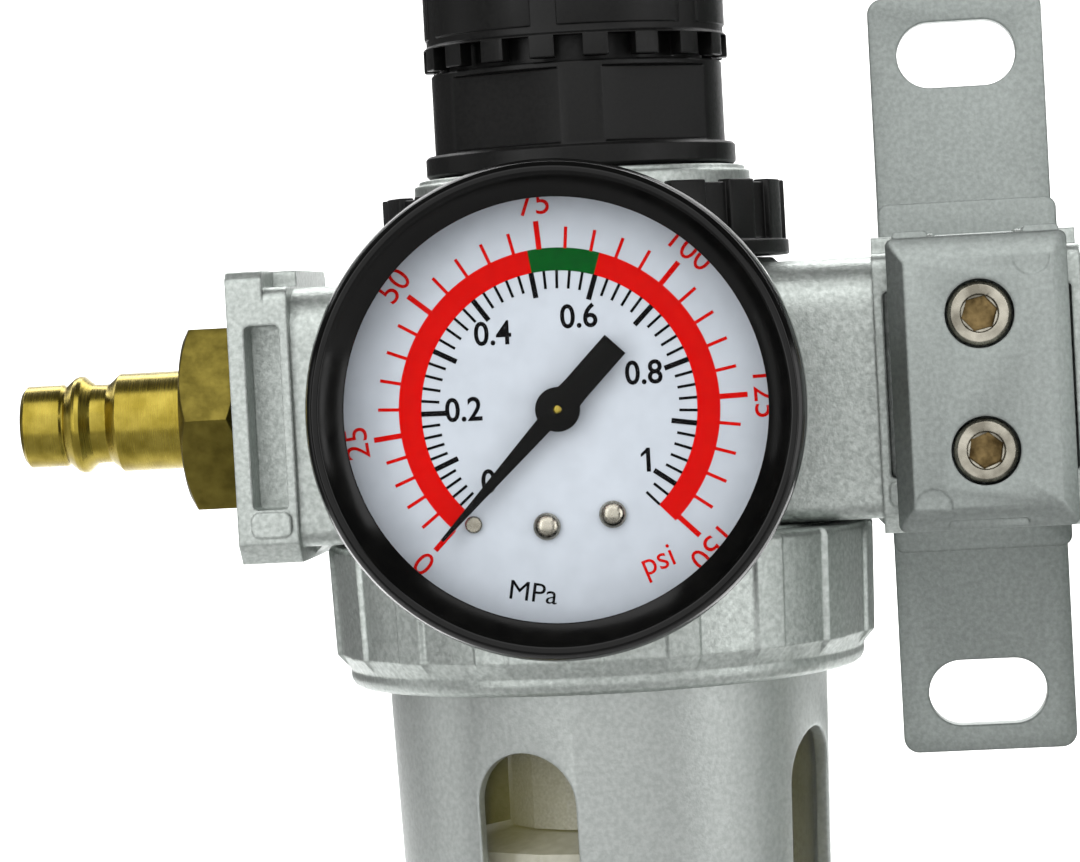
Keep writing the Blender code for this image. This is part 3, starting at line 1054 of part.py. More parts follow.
def lubricator(parent):
    """Lubricator: body, sight dome, feed, filler and siphon."""
    top = [(0, CAVITY_TOP), (0, TOP_HEIGHT), (TOP_RADIUS - 1.5, TOP_HEIGHT), (TOP_RADIUS, TOP_HEIGHT - 1.5),
           (TOP_RADIUS, BODY_TOP)]
    body = service_body("lubricator_body", parent, top)
    cut(body, rod("dome bore", DOME_BORE, DOME_FLOOR, TOP_HEIGHT + PAST, parent))
    half_bore = port_profile(0)[:-2]
    other_half = [(radius, -height) for radius, height in reversed(half_bore)]
    cut(body, turned("air passage", half_bore + other_half, CAST, parent, turn=RIGHT))
    cut(body, rod("drip hole", DRIP_RADIUS + GAP, 0, DOME_FLOOR + PAST, parent, steps=SMALL_STEPS))
    cut(body, rod("siphon hole", SIPHON_RADIUS + GAP, CAVITY_TOP - PAST, DOME_FLOOR + PAST, parent,
                  (0, SIPHON_PLACE, 0), steps=SMALL_STEPS))
    fill_x, fill_y = FILL_PLACE
    cut(body, rod("fill hole", FILL_HOLE + GAP, CAVITY_TOP - PAST, TOP_HEIGHT + PAST, parent,
                  (fill_x, fill_y, 0), steps=SMALL_STEPS))

    seal_low = TOP_HEIGHT + GAP
    seal_high = seal_low + DOME_SEAL
    flange = seal_high + GAP
    hole = NEEDLE_RADIUS + GAP
    bore = DOME_BORE - GAP
    inside = bore - DOME_WALL
    profile = [(hole, DOME_TOP), (6, DOME_TOP), (6, DOME_TOP - 2), (DOME_RADIUS - 3, DOME_TOP - 2.6),
               (DOME_RADIUS, DOME_TOP - 6), (DOME_RADIUS, flange + 3.5), (DOME_FLANGE_RADIUS, flange + 3),
               (DOME_FLANGE_RADIUS, flange), (bore, flange), (bore, DOME_FLOOR + GAP), (inside, DOME_FLOOR + GAP),
               (inside, DOME_TOP - 7), (inside - 3, DOME_TOP - 4.6), (hole, DOME_TOP - 4.6)]
    turned("sight_dome", profile, CLEAR, parent)
    outer = DOME_FLANGE_RADIUS
    profile = [(outer, seal_high), (outer, seal_low), (bore + GAP, seal_low), (bore + GAP, seal_high)]
    turned("sight_dome_seal", profile, RUBBER, parent)
    profile = [(DRIP_BORE, DRIP_TOP), (DRIP_RADIUS - 0.8, DRIP_TOP), (DRIP_RADIUS, DRIP_TOP - 1),
               (DRIP_RADIUS, PASSAGE_RADIUS + 0.4), (DRIP_BORE, PASSAGE_RADIUS + 0.4)]
    turned("drip_tube", profile, BRASS, parent, steps=SMALL_STEPS)
    needle_low = DRIP_TOP + GAP + 1
    top = DOME_TOP + 2
    profile = [(0, top), (NEEDLE_RADIUS, top), (NEEDLE_RADIUS, needle_low + 2), (0.3, needle_low), (0, needle_low)]
    turned("feed_needle", profile, STEEL, parent, steps=12)
    pitch = 360 / 12
    wings = []
    for i in range(12):
        for part, radius in ((0, FEED_KNOB_RADIUS), (0.5, FEED_KNOB_RADIUS - 0.6)):
            wings.append(((i + part) * pitch, radius))
    low = DOME_TOP + GAP
    high = low + FEED_KNOB_HEIGHT
    hole = same_radius(wings, NEEDLE_RADIUS + GAP)
    ceiling = top + NEEDLE_LIFT + GAP
    loops = [wheel(hole, ceiling), wheel(hole, low), wheel(same_radius(wings, FEED_KNOB_RADIUS - 0.6), low),
             wheel(wings, low + 0.8), wheel(wings, high - 1),
             wheel(same_radius(wings, FEED_KNOB_RADIUS - 1.2), high)]
    lofted("feed_knob", loops, BLACK, parent)

    low = TOP_HEIGHT + GAP + 0.8 + GAP
    profile = [(0, low + 1), (FILL_HOLE, low + 1), (FILL_HOLE, low - 9), (0, low - 9)]
    plug = turned("fill_plug", profile, BLACK, parent, (fill_x, fill_y, 0))
    add(plug, prism("filler hexagon", polygon(6, FILL_HEAD), low, low + FILL_HEAD_HEIGHT, BLACK, parent,
                    (fill_x, fill_y, 0)))
    profile = [(FILL_HEAD, low - GAP), (FILL_HEAD, low - GAP - 0.8), (FILL_HOLE + GAP, low - GAP - 0.8),
               (FILL_HOLE + GAP, low - GAP)]
    turned("fill_plug_seal", profile, RUBBER, parent, (fill_x, fill_y, 0), steps=SMALL_STEPS)

    place = (0, SIPHON_PLACE, 0)
    profile = [(SIPHON_BORE, DOME_FLOOR), (SIPHON_RADIUS, DOME_FLOOR), (SIPHON_RADIUS, SIPHON_BOTTOM),
               (SIPHON_BORE, SIPHON_BOTTOM)]
    turned("siphon_tube", profile, WHITE, parent, place, steps=SMALL_STEPS)
    low = SIPHON_BOTTOM - 3
    bore = SIPHON_RADIUS + GAP
    profile = [(bore, low + STRAINER_HEIGHT), (STRAINER_RADIUS, low + STRAINER_HEIGHT), (STRAINER_RADIUS, low),
               (0, low), (0, low + 2.5), (bore, low + 2.5)]
    turned("siphon_strainer", profile, BRASS, parent, place)
    flap = arc((0, -FLAP_RADIUS), FLAP_RADIUS, 60, -240, 18)
    prism("flow_flap", flap, -FLAP_THICK / 2, FLAP_THICK / 2, STEEL, parent, (0, 0, FLAP_RADIUS), RIGHT)


frame = holder("unit", (0, AXIS_Y, 0))
left_unit = holder("filter regulator", (-BODY_OFFSET, 0, 0), frame)
right_unit = holder("lubricator unit", (BODY_OFFSET, 0, 0), frame)

regulator_body(left_unit)
regulator_top(left_unit)
regulator_inside(left_unit)
plug_in_port("rear_port_plug", left_unit, BRASS)
inlet_plug(left_unit)
gauge(left_unit)
bowl_set("filter", "filter_bowl_ring", left_unit)
joint(frame)
lubricator(right_unit)
bowl_set("lubricator", "lubricator_bowl_ring", right_unit)
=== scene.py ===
# %% [markdown]
# # A filter regulator lubricator
# A compressed-air service unit has a filter and pressure regulator on the left, a lubricator on the right and a
# bracket between them. Most of it is round, so most pieces are turned from a profile. The two bodies are castings,
# put together from simple solids. We load the solid model first: every piece is placed by it.

# %% Load the frame
import math

import bmesh
import bpy
from mathutils import Euler, Matrix, Vector


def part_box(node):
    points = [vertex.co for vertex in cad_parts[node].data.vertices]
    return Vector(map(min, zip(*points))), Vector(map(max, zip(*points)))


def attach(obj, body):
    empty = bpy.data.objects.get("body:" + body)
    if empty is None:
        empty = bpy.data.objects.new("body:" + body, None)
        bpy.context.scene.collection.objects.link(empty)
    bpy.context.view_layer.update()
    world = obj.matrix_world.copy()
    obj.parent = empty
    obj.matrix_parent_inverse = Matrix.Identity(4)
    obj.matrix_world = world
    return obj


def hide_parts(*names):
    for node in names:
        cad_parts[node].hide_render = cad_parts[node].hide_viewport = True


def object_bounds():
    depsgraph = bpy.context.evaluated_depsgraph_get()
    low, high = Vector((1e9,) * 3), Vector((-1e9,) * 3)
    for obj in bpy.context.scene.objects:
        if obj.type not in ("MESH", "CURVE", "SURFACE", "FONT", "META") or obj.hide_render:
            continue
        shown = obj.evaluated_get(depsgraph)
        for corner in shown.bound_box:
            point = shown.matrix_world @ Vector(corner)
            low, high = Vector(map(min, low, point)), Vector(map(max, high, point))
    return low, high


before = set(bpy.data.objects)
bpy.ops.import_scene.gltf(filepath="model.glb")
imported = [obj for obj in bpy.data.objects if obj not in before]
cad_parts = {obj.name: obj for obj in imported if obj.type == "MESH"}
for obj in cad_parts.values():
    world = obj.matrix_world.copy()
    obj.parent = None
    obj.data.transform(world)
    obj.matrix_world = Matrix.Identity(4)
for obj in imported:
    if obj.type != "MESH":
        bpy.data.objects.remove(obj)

MM = 0.001
solid_box = [[float(value) for value in corner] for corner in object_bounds()]
print("solid model", solid_box)

# %% [markdown]
# ## Camera
# The photograph is a close, nearly level view along Y, with a long lens. The place and the angles below were fitted
# to edges seen in it: the gauge's rim, the slots of the bracket and the flange. The place is in millimetres and the
# angles are in degrees.

# %% Camera
EYE = (-10.3, -511.9, 9.4)
YAW, PITCH, ROLL = 5.20, 1.57, -3.10
FOCAL_LENGTH, SENSOR_WIDTH, NEAREST = 130.0, 36, 20


def linked(name, data):
    """An object with this data, linked to the scene."""
    made = bpy.data.objects.new(name, data)
    bpy.context.collection.objects.link(made)
    return made


def aim(yaw, pitch, roll):
    """Camera axes as matrix columns: right, up and back."""
    yaw, pitch, roll = (math.radians(value) for value in (yaw, pitch, roll))
    ahead = Vector((-math.sin(yaw) * math.cos(pitch), math.cos(yaw) * math.cos(pitch), -math.sin(pitch)))
    right = Vector((math.cos(yaw), math.sin(yaw), 0))
    up = right.cross(ahead)
    tilted = math.cos(roll) * right + math.sin(roll) * up
    return Matrix((tilted, math.cos(roll) * up - math.sin(roll) * right, -ahead)).transposed()


lens = bpy.data.cameras.new("photo camera")
lens.sensor_width = SENSOR_WIDTH
lens.sensor_fit = "HORIZONTAL"
lens.lens = FOCAL_LENGTH
lens.clip_start = NEAREST * MM
camera = linked("photo camera", lens)
camera.matrix_world = Matrix.Translation(Vector(EYE) * MM) @ aim(YAW, PITCH, ROLL).to_4x4()
bpy.context.scene.camera = camera
print("camera at", camera.location)

# %% [markdown]
# ## Places and turns
# Shapes are drawn in millimetres about their own axis, then put in place once, so that a finished piece lies at the
# origin and patterns in Object coordinates have the right size. Both units hang from a level line of ports, and the
# middles of their guards in the solid model give their axes. GAP is the play between pieces that don't touch.

# %% Places and turns
UP = (0.0, 0.0, 0.0)
FRONT = (math.pi / 2, 0.0, 0.0)
RIGHT = (math.pi / 2, 0.0, math.pi / 2)
LEFT = (math.pi / 2, 0.0, -math.pi / 2)
GAP = 0.3


def middle_of(node_name):
    """The axis of an upright round node, at port height."""
    low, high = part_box(node_name)
    return ((low[0] + high[0]) / 2 / MM, (low[1] + high[1]) / 2 / MM, 0.0)


def offset(place, x=0.0, y=0.0, z=0.0):
    """A place moved by a few millimetres."""
    return (place[0] + x, place[1] + y, place[2] + z)


REGULATOR = middle_of("filter_guard")
LUBRICATOR = middle_of("lubricator_guard")
MIDDLE = (0.0, REGULATOR[1], 0.0)
print("axes at", REGULATOR, LUBRICATOR)

# %% [markdown]
# ## From a shape to a piece
# A shape could be made of Blender's own primitives. Here it is built point by point in bmesh, because most outlines
# are ours. Points that lie together are merged, the faces are turned outwards, and the shape becomes a mesh in
# metres, smooth but for the edges that are sharper than a set angle.

# %% Piece helper
MERGE, SHARP = 0.0005, 38


def placing(place, turn):
    """The matrix that turns a shape and puts it in its place."""
    return Matrix.Translation(Vector(place)) @ Euler(turn).to_matrix().to_4x4()


def settle(name, shape, finish, place=(0, 0, 0), turn=UP, sharp=SHARP):
    """Put a shape drawn in millimetres in its place, as an object at the origin."""
    bmesh.ops.remove_doubles(shape, verts=shape.verts, dist=MERGE)
    bmesh.ops.recalc_face_normals(shape, faces=shape.faces)
    shape.transform(Matrix.Diagonal((MM, MM, MM, 1)) @ placing(place, turn))
    mesh = bpy.data.meshes.new(name)
    shape.to_mesh(mesh)
    shape.free()
    mesh.materials.append(finish)
    mesh.shade_smooth()
    mesh.set_sharp_from_angle(angle=math.radians(sharp))
    return linked(name, mesh)


print("edges stay sharp from", SHARP, "degrees")

# %% [markdown]
# ## Outlines
# Outlines are plain lists of points. Nothing that is cast, moulded or turned has truly sharp corners, so one function
# eases them. Loops for ribs, wings and flats are given as spokes, each an angle and a radius.

# %% Outlines
NOTHING, NEARLY_STRAIGHT, EASED_SHARE = 1e-6, math.radians(20), 0.45


def arc(middle, radius, start, end, count):
    """Points on a circle from one angle to another, in degrees."""
    angles = [math.radians(start + (end - start) * i / count) for i in range(count + 1)]
    return [(middle[0] + radius * math.cos(a), middle[1] + radius * math.sin(a)) for a in angles]


def rounded(x0, y0, x1, y1, radii, count=6):
    """A rectangle with rounded corners: low right, high right, high left and low left."""
    corners = [(x1, y0, -1, 1), (x1, y1, -1, -1), (x0, y1, 1, -1), (x0, y0, 1, 1)]
    points = []
    for number, (x, y, along, up) in enumerate(corners):
        radius = radii[number]
        points += arc((x + along * radius, y + up * radius), radius, 90 * number - 90, 90 * number, count)
    return points


def plate(half_width, half_height, radius, count=6):
    """A rectangle about the origin whose corners are all rounded alike."""
    return rounded(-half_width, -half_height, half_width, half_height, [radius] * 4, count)


def polygon(sides, flat, start=0.0):
    """A regular outline whose flats lie `flat` from the middle."""
    corner = flat / math.cos(math.pi / sides)
    return arc((0, 0), corner, start, start + 360 - 360 / sides, sides - 1)


def swung(outline, degrees):
    """An outline turned about the origin."""
    spin = math.radians(degrees)
    return [(x * math.cos(spin) - y * math.sin(spin), x * math.sin(spin) + y * math.cos(spin)) for x, y in outline]


def eased(outline, radius, count=3, axis=False):
    """Round the corners of an outline, as a mould or a tool leaves them."""
    points = []
    for i, corner in enumerate(outline):
        here = Vector(corner)
        before = Vector(outline[i - 1]) - here
        after = Vector(outline[(i + 1) % len(outline)]) - here
        if (axis and corner[0] < NOTHING) or min(before.length, after.length) < NOTHING:
            points.append(tuple(corner))
            continue
        opening = before.angle(after)
        if math.pi - opening < NEARLY_STRAIGHT:
            points.append(tuple(corner))
            continue
        reach = min(radius / math.tan(opening / 2), EASED_SHARE * before.length, EASED_SHARE * after.length)
        start = here + before.normalized() * reach
        end = here + after.normalized() * reach
        for k in range(count + 1):
            t = k / count
            points.append(tuple((1 - t) ** 2 * start + 2 * t * (1 - t) * here + t ** 2 * end))
    return points


print("a 22 mm hexagon is", round(2 * polygon(6, 11.0)[0][0], 2), "mm across its corners")

# %% Loops
def level(outline, height):
    """A flat outline as a loop at one height."""
    return [(x, y, height) for x, y in outline]


def wheel(spokes, height):
    """A loop at one height through the ends of spokes, each an angle and a radius."""
    turns = [(math.radians(angle), radius) for angle, radius in spokes]
    return [(radius * math.cos(a), radius * math.sin(a), height) for a, radius in turns]


def grown(spokes, change, height):
    """A loop whose spokes are longer by `change`."""
    return wheel([(angle, radius + change) for angle, radius in spokes], height)


def even(spokes, radius, height):
    """A round loop with its points at the angles of the spokes."""
    return wheel([(angle, radius) for angle, _ in spokes], height)


print("a loop starts at", even([(0, 1.0), (90, 1.0)], 2.0, 5.0)[0])

# %% [markdown]
# ## Solids
# Blender could spin or extrude these with modifiers. Two short functions do the same and keep the points in our
# hands: a lathe shape from a profile, and a loft through loops. A prism is a loft through two loops, and bars and
# blocks are plain tools that cut or join and don't stay.

# %% Solids
def turned(name, profile, finish, place=(0, 0, 0), turn=UP, ease=0.2, steps=96):
    """A lathe shape from a closed profile of (radius, height) points."""
    if ease:
        profile = eased(profile, ease, axis=True)
    shape = bmesh.new()
    rings = []
    for i in range(steps):
        angle = 2 * math.pi * i / steps
        rings.append([shape.verts.new((r * math.cos(angle), r * math.sin(angle), h)) for r, h in profile])
    for i in range(steps):
        for j in range(len(profile)):
            k = (j + 1) % len(profile)
            if profile[j][0] > NOTHING or profile[k][0] > NOTHING:
                shape.faces.new((rings[i - 1][j], rings[i - 1][k], rings[i][k], rings[i][j]))
    return settle(name, shape, finish, place, turn)


def lofted(name, loops, finish, place=(0, 0, 0), turn=UP, capped=True, sharp=SHARP):
    """A solid through loops of the same number of points."""
    shape = bmesh.new()
    rows = [[shape.verts.new(point) for point in loop] for loop in loops]
    pairs = list(zip(rows, rows[1:]))
    if capped:
        shape.faces.new(rows[0])
        shape.faces.new(rows[-1])
    else:
        pairs.append((rows[-1], rows[0]))
    for low, high in pairs:
        for i in range(len(low)):
            shape.faces.new((low[i - 1], low[i], high[i], high[i - 1]))
    return settle(name, shape, finish, place, turn, sharp)


def prism(name, outline, low, high, finish, place=(0, 0, 0), turn=UP):
    """An outline carried from one height to another."""
    return lofted(name, [level(outline, low), level(outline, high)], finish, place, turn)


def bar(name, radius, low, high, place=(0, 0, 0), turn=UP, steps=64):
    """A plain round tool for bores and bosses."""
    return turned(name, [(0, high), (radius, high), (radius, low), (0, low)], None, place, turn, 0, steps)


def block(name, size, place):
    """A plain rectangular tool about its own middle."""
    x, y, z = (value / 2 for value in size)
    return prism(name, [(-x, -y), (x, -y), (x, y), (-x, y)], -z, z, None, place)


# %% [markdown]
# ## Joining and cutting
# Boolean modifiers join and cut the castings as a pattern maker adds and carves wood. The result is made a plain
# mesh at once and the tools are thrown away.

# %% Boolean helpers
def give_finish(mesh, finish):
    """Give every face of a mesh the same finish."""
    mesh.materials.clear()
    mesh.materials.append(finish)
    for face in mesh.polygons:
        face.material_index = 0


def baked(piece):
    """Turn a piece with modifiers into a plain mesh."""
    depsgraph = bpy.context.evaluated_depsgraph_get()
    mesh = bpy.data.meshes.new_from_object(piece.evaluated_get(depsgraph))
    piece.modifiers.clear()
    piece.data = mesh
    mesh.shade_smooth()
    mesh.set_sharp_from_angle(angle=math.radians(SHARP))
    return piece


def worked(piece, tools, operation):
    """Join, cut or trim a piece with tools, which are used up."""
    for tool in tools:
        step = piece.modifiers.new(tool.name, "BOOLEAN")
        step.operation = operation
        step.solver = "EXACT"
        step.object = tool
    finish = piece.data.materials[0]
    baked(piece)
    give_finish(piece.data, finish)
    for tool in tools:
        bpy.data.objects.remove(tool, do_unlink=True)
    return piece


def joined(piece, *tools):
    return worked(piece, tools, "UNION")


def cut(piece, *tools):
    return worked(piece, tools, "DIFFERENCE")


def softened(piece, width, segments=2, angle=40):
    """A narrow bevel along the sharp edges."""
    step = piece.modifiers.new("soft edges", "BEVEL")
    step.width = width * MM
    step.segments = segments
    step.limit_method = "ANGLE"
    step.angle_limit = math.radians(angle)
    return baked(piece)


def together(name, *pieces):
    """Several meshes as one object."""
    shape = bmesh.new()
    finish = pieces[0].data.materials[0]
    for piece in pieces:
        shape.from_mesh(piece.data)
        bpy.data.objects.remove(piece, do_unlink=True)
    mesh = bpy.data.meshes.new(name)
    shape.to_mesh(mesh)
    shape.free()
    give_finish(mesh, finish)
    return linked(name, mesh)


# %% [markdown]
# ## Repeats with Geometry Nodes
# Grooves, teeth, ribs and dial marks stand at equal angles about an axis. One node tree repeats a pattern object:
# points on top of each other, an instance on each, and a turn of first angle + number x step.

# %% The repeat tree
def hex_colour(text):
    """An sRGB hex value as a linear colour."""
    parts = [int(text[i:i + 2], 16) / 255 for i in (1, 3, 5)]
    return tuple(c / 12.92 if c <= 0.04045 else ((c + 0.055) / 1.055) ** 2.4 for c in parts) + (1.0,)


def add_node(tree, kind, inputs=None, **settings):
    """Add a node, set it up and link or fill its inputs."""
    made = tree.nodes.new(kind)
    for name, value in settings.items():
        setattr(made, name, value)
    for name, value in (inputs or {}).items():
        if isinstance(value, bpy.types.NodeSocket):
            tree.links.new(value, made.inputs[name])
        else:
            made.inputs[name].default_value = value
    return made


repeat_tree = bpy.data.node_groups.new("repeat about an axis", "GeometryNodeTree")
repeat_tree.interface.new_socket("Geometry", in_out="OUTPUT", socket_type="NodeSocketGeometry")
for label, kind in (("Pattern", "Object"), ("Count", "Int"), ("First angle", "Float"), ("Step angle", "Float"),
                    ("Finish", "Material")):
    repeat_tree.interface.new_socket(label, in_out="INPUT", socket_type="NodeSocket" + kind)
given = add_node(repeat_tree, "NodeGroupInput").outputs
points = add_node(repeat_tree, "GeometryNodeMeshLine", {"Count": given["Count"], "Offset": (0, 0, 0)})
pattern = add_node(repeat_tree, "GeometryNodeObjectInfo", {"Object": given["Pattern"]})
number = add_node(repeat_tree, "GeometryNodeInputIndex")
angle = add_node(repeat_tree, "ShaderNodeMath", {0: number.outputs[0], 1: given["Step angle"],
                                                 2: given["First angle"]}, operation="MULTIPLY_ADD")
swing = add_node(repeat_tree, "ShaderNodeCombineXYZ", {"Z": angle.outputs[0]})
copies = add_node(repeat_tree, "GeometryNodeInstanceOnPoints",
                  {"Points": points.outputs[0], "Instance": pattern.outputs["Geometry"],
                   "Rotation": swing.outputs[0]})
solid = add_node(repeat_tree, "GeometryNodeRealizeInstances", {"Geometry": copies.outputs[0]})
coated = add_node(repeat_tree, "GeometryNodeSetMaterial", {"Geometry": solid.outputs[0],
                                                           "Material": given["Finish"]})
add_node(repeat_tree, "NodeGroupOutput", {"Geometry": coated.outputs[0]})


def repeated(name, pattern_piece, count, first, step, finish, place=(0, 0, 0), turn=UP):
    """Repeat a pattern drawn about the origin, then put the ring of copies in place."""
    carrier = linked(name, bpy.data.meshes.new(name))
    modifier = carrier.modifiers.new("repeat", "NODES")
    modifier.node_group = repeat_tree
    sockets = {item.name: item.identifier for item in repeat_tree.interface.items_tree
               if item.in_out == "INPUT"}
    values = {"Pattern": pattern_piece, "Count": count, "First angle": math.radians(first),
              "Step angle": math.radians(step), "Finish": finish}
    for label, value in values.items():
        modifier[sockets[label]] = value
    baked(carrier)
    bpy.data.objects.remove(pattern_piece, do_unlink=True)
    carrier.data.transform(placing(Vector(place) * MM, turn))
    if not carrier.data.materials:
        carrier.data.materials.append(finish)
    return carrier


print("repeat tree with", len(repeat_tree.nodes), "nodes")

# %% [markdown]
# ## Finishes
# Each material is a Principled shader whose colour, roughness and bump vary with noise. Coordinates are the object's
# own, in metres, so a noise scale of 1000 gives marks of about one millimetre. Painted textures could do it too, but
# noise needs no unwrapping and is as sharp as the camera asks for.

# %% Material helpers
NOISE_LOW, NOISE_HIGH = 0.3, 0.7


def finish_of(name, roughness, metallic=0.0, **settings):
    """A material with its shader, and the coordinates that patterns read."""
    made = bpy.data.materials.new(name)
    made.use_nodes = True
    tree = made.node_tree
    shader = tree.nodes["Principled BSDF"]
    shader.inputs["Metallic"].default_value = metallic
    shader.inputs["Roughness"].default_value = roughness
    for label, value in settings.items():
        shader.inputs[label.replace("_", " ")].default_value = value
    where = add_node(tree, "ShaderNodeTexCoord").outputs["Object"]
    return made, tree, shader, where


def grain(tree, where, size, detail, stretch=(1, 1, 1)):
    """Noise whose marks are `size` millimetres wide, made longer by `stretch`."""
    scale = [1 / (size * MM * part) for part in stretch]
    placed = add_node(tree, "ShaderNodeMapping", {"Vector": where, "Scale": scale})
    return add_node(tree, "ShaderNodeTexNoise", {"Vector": placed.outputs[0], "Scale": 1.0, "Detail": detail})


def blend_colours(tree, shader, noise, dark, light, low=0.35, high=0.65):
    """A base colour that goes from dark to light with a noise."""
    ramp = add_node(tree, "ShaderNodeValToRGB", {"Fac": noise.outputs[0]})
    first, last = ramp.color_ramp.elements
    first.position, last.position = low, high
    first.color, last.color = hex_colour(dark), hex_colour(light)
    tree.links.new(ramp.outputs[0], shader.inputs["Base Color"])


def vary_roughness(tree, shader, noise, low, high):
    """A roughness that goes from low to high with a noise."""
    spread = add_node(tree, "ShaderNodeMapRange", {"Value": noise.outputs[0], "From Min": NOISE_LOW,
                                                   "From Max": NOISE_HIGH, "To Min": low, "To Max": high})
    tree.links.new(spread.outputs[0], shader.inputs["Roughness"])


def bump(tree, shader, noise, depth, edge=0.0):
    """Relief of `depth` millimetres, on edges rounded by `edge` millimetres."""
    made = add_node(tree, "ShaderNodeBump", {"Height": noise.outputs[0], "Distance": depth * MM,
                                             "Strength": 1.0})
    if edge:
        soft = add_node(tree, "ShaderNodeBevel", {"Radius": edge * MM}, samples=4)
        tree.links.new(soft.outputs[0], made.inputs["Normal"])
    tree.links.new(made.outputs[0], shader.inputs["Normal"])


# %% [markdown]
# ### Die-cast aluminium
# The castings were tumbled, which leaves a fine mottled grain that sparkles a little, and soft edges that the Bevel
# node rounds. The guard is smoother, and the bracket is the same alloy, blasted and darker. The grain of the real
# castings is about half a millimetre, as it is here.

# %% Cast metal
def cast_metal(name, dark, light, smooth, rough, relief):
    """Mottled colour, patchy gloss and fine relief, each from a noise of its own size in millimetres."""
    colour_size, gloss_size, relief_size, edge = 0.6, 0.5, 0.3, 0.45
    made, tree, shader, where = finish_of(name, rough, 0.9)
    blend_colours(tree, shader, grain(tree, where, colour_size, 5), dark, light)
    vary_roughness(tree, shader, grain(tree, where, gloss_size, 4), smooth, rough)
    bump(tree, shader, grain(tree, where, relief_size, 4), relief, edge)
    return made


CAST = cast_metal("die_cast_aluminium_tumbled", "#a2a8a4", "#bcc2be", 0.34, 0.50, 0.03)
GUARD_METAL = cast_metal("die_cast_aluminium_satin", "#adb2af", "#bcc1be", 0.34, 0.46, 0.02)
BRACKET_METAL = cast_metal("die_cast_aluminium_blasted", "#8c928f", "#9aa09d", 0.40, 0.50, 0.02)
print("castings:", CAST.name, GUARD_METAL.name, BRACKET_METAL.name)

# %% [markdown]
# ### Turned metals
# A lathe tool leaves fine rings, so the noise is stretched round the axis: it changes only along X. Real rings are
# about 0.05 mm apart, too fine to show, so they are drawn three times as coarse. The plug is unplated brass, and its
# hexagon, milled from the bar, is duller. Screws are nickel-plated steel, which tarnishes to brown in the sockets.
# Metals keep the default IOR.

# %% Turned metals
def turned_metal(name, dark, light, smooth, rough, lines=(1, 40, 40), size=0.16, relief=0.004):
    """Large soft patches of colour, and marks of `size` millimetres that are longer along `lines`."""
    patch_size, edge = 2.4, 0.12
    made, tree, shader, where = finish_of(name, rough, 1.0)
    blend_colours(tree, shader, grain(tree, where, patch_size, 4), dark, light)
    marks = grain(tree, where, size, 2, lines)
    vary_roughness(tree, shader, marks, smooth, rough)
    bump(tree, shader, marks, relief, edge)
    return made


ALL_WAYS = (1, 1, 1)
BRASS = turned_metal("brass_turned", "#86762c", "#a29140", 0.22, 0.30)
DULL_BRASS = turned_metal("brass_dull", "#5c5222", "#776b30", 0.32, 0.44, ALL_WAYS, 0.5)
STEEL = turned_metal("steel_nickel_plated", "#79756a", "#b0ac9f", 0.18, 0.34, ALL_WAYS, 0.6, 0.02)
SPRING = turned_metal("spring_steel_drawn", "#77787c", "#9b9ca0", 0.25, 0.4)
SOCKET = turned_metal("steel_socket_tarnished", "#4a3c24", "#85714c", 0.3, 0.5, ALL_WAYS, 0.5, 0.03)
print("turned metals:", BRASS.name, DULL_BRASS.name, STEEL.name, SPRING.name, SOCKET.name)

# %% [markdown]
# ### Blacks
# The nut, bonnet and knob are moulded nylon, satin with a faint texture of half a millimetre. The gauge's case and
# rim are stoved enamel, glossy and slightly wavy, and the pointer is lacquered satin. All three start from an IOR of
# about 1.5. It is lowered until the blacks are as deep as in the picture, because the panels here are wide.

# %% Black finishes
def plain_finish(name, dark, light, smooth, rough, size, relief, edge=0.0, **settings):
    """Colour, gloss and relief that follow one noise of `size` millimetres."""
    made, tree, shader, where = finish_of(name, rough, **settings)
    noise = grain(tree, where, size, 4)
    blend_colours(tree, shader, noise, dark, light)
    vary_roughness(tree, shader, noise, smooth, rough)
    bump(tree, shader, noise, relief, edge)
    return made


NYLON = plain_finish("nylon_moulded_black", "#080808", "#0f0f0e", 0.36, 0.48, 0.5, 0.012, edge=0.2, IOR=1.3)
ENAMEL = plain_finish("enamel_stoved_black", "#040404", "#070706", 0.12, 0.18, 2.5, 0.008, IOR=1.3)
LACQUER = plain_finish("lacquer_black_satin", "#060605", "#0a0a09", 0.36, 0.46, 0.8, 0.004, IOR=1.15)
RUBBER = plain_finish("nitrile_rubber_moulded", "#121213", "#1c1c1d", 0.6, 0.75, 0.6, 0.02)
print("blacks:", NYLON.name, ENAMEL.name, LACQUER.name, RUBBER.name)

# %% [markdown]
# ### Dial, plastics and glass
# The dial is white lacquer with matt printed inks, whose IOR is lowered as the blacks' is. The bowls are amber
# polycarbonate, clear enough to show what is inside, and the sight dome is clear. The lens is flat glass: what one
# sees of it is only its reflection, which grows towards grazing angles as the Fresnel node says. The porous element
# and the white acetal parts show through the windows of the guard.

# %% Dial, plastics and glass
DIAL = plain_finish("dial_lacquer_white", "#bfc7d0", "#c6ced7", 0.42, 0.5, 3.0, 0.002)
RED_INK = plain_finish("printing_ink_red", "#ce0401", "#d60702", 0.6, 0.7, 1.2, 0.002, IOR=1.12)
GREEN_INK = plain_finish("printing_ink_green", "#024b17", "#04571b", 0.6, 0.7, 1.2, 0.002, IOR=1.12)
BLACK_INK = plain_finish("printing_ink_black", "#070708", "#0d0d0f", 0.6, 0.7, 1.2, 0.002, IOR=1.12)
ACETAL = plain_finish("acetal_moulded_white", "#dcdcd2", "#ecece4", 0.4, 0.5, 1.5, 0.01)
POROUS = plain_finish("polyethylene_sintered", "#d8d8cc", "#eeeee6", 0.75, 0.9, 0.35, 0.12)
AMBER = plain_finish("polycarbonate_amber", "#968d3a", "#a39a48", 0.10, 0.2, 4.0, 0.01, Alpha=0.12)
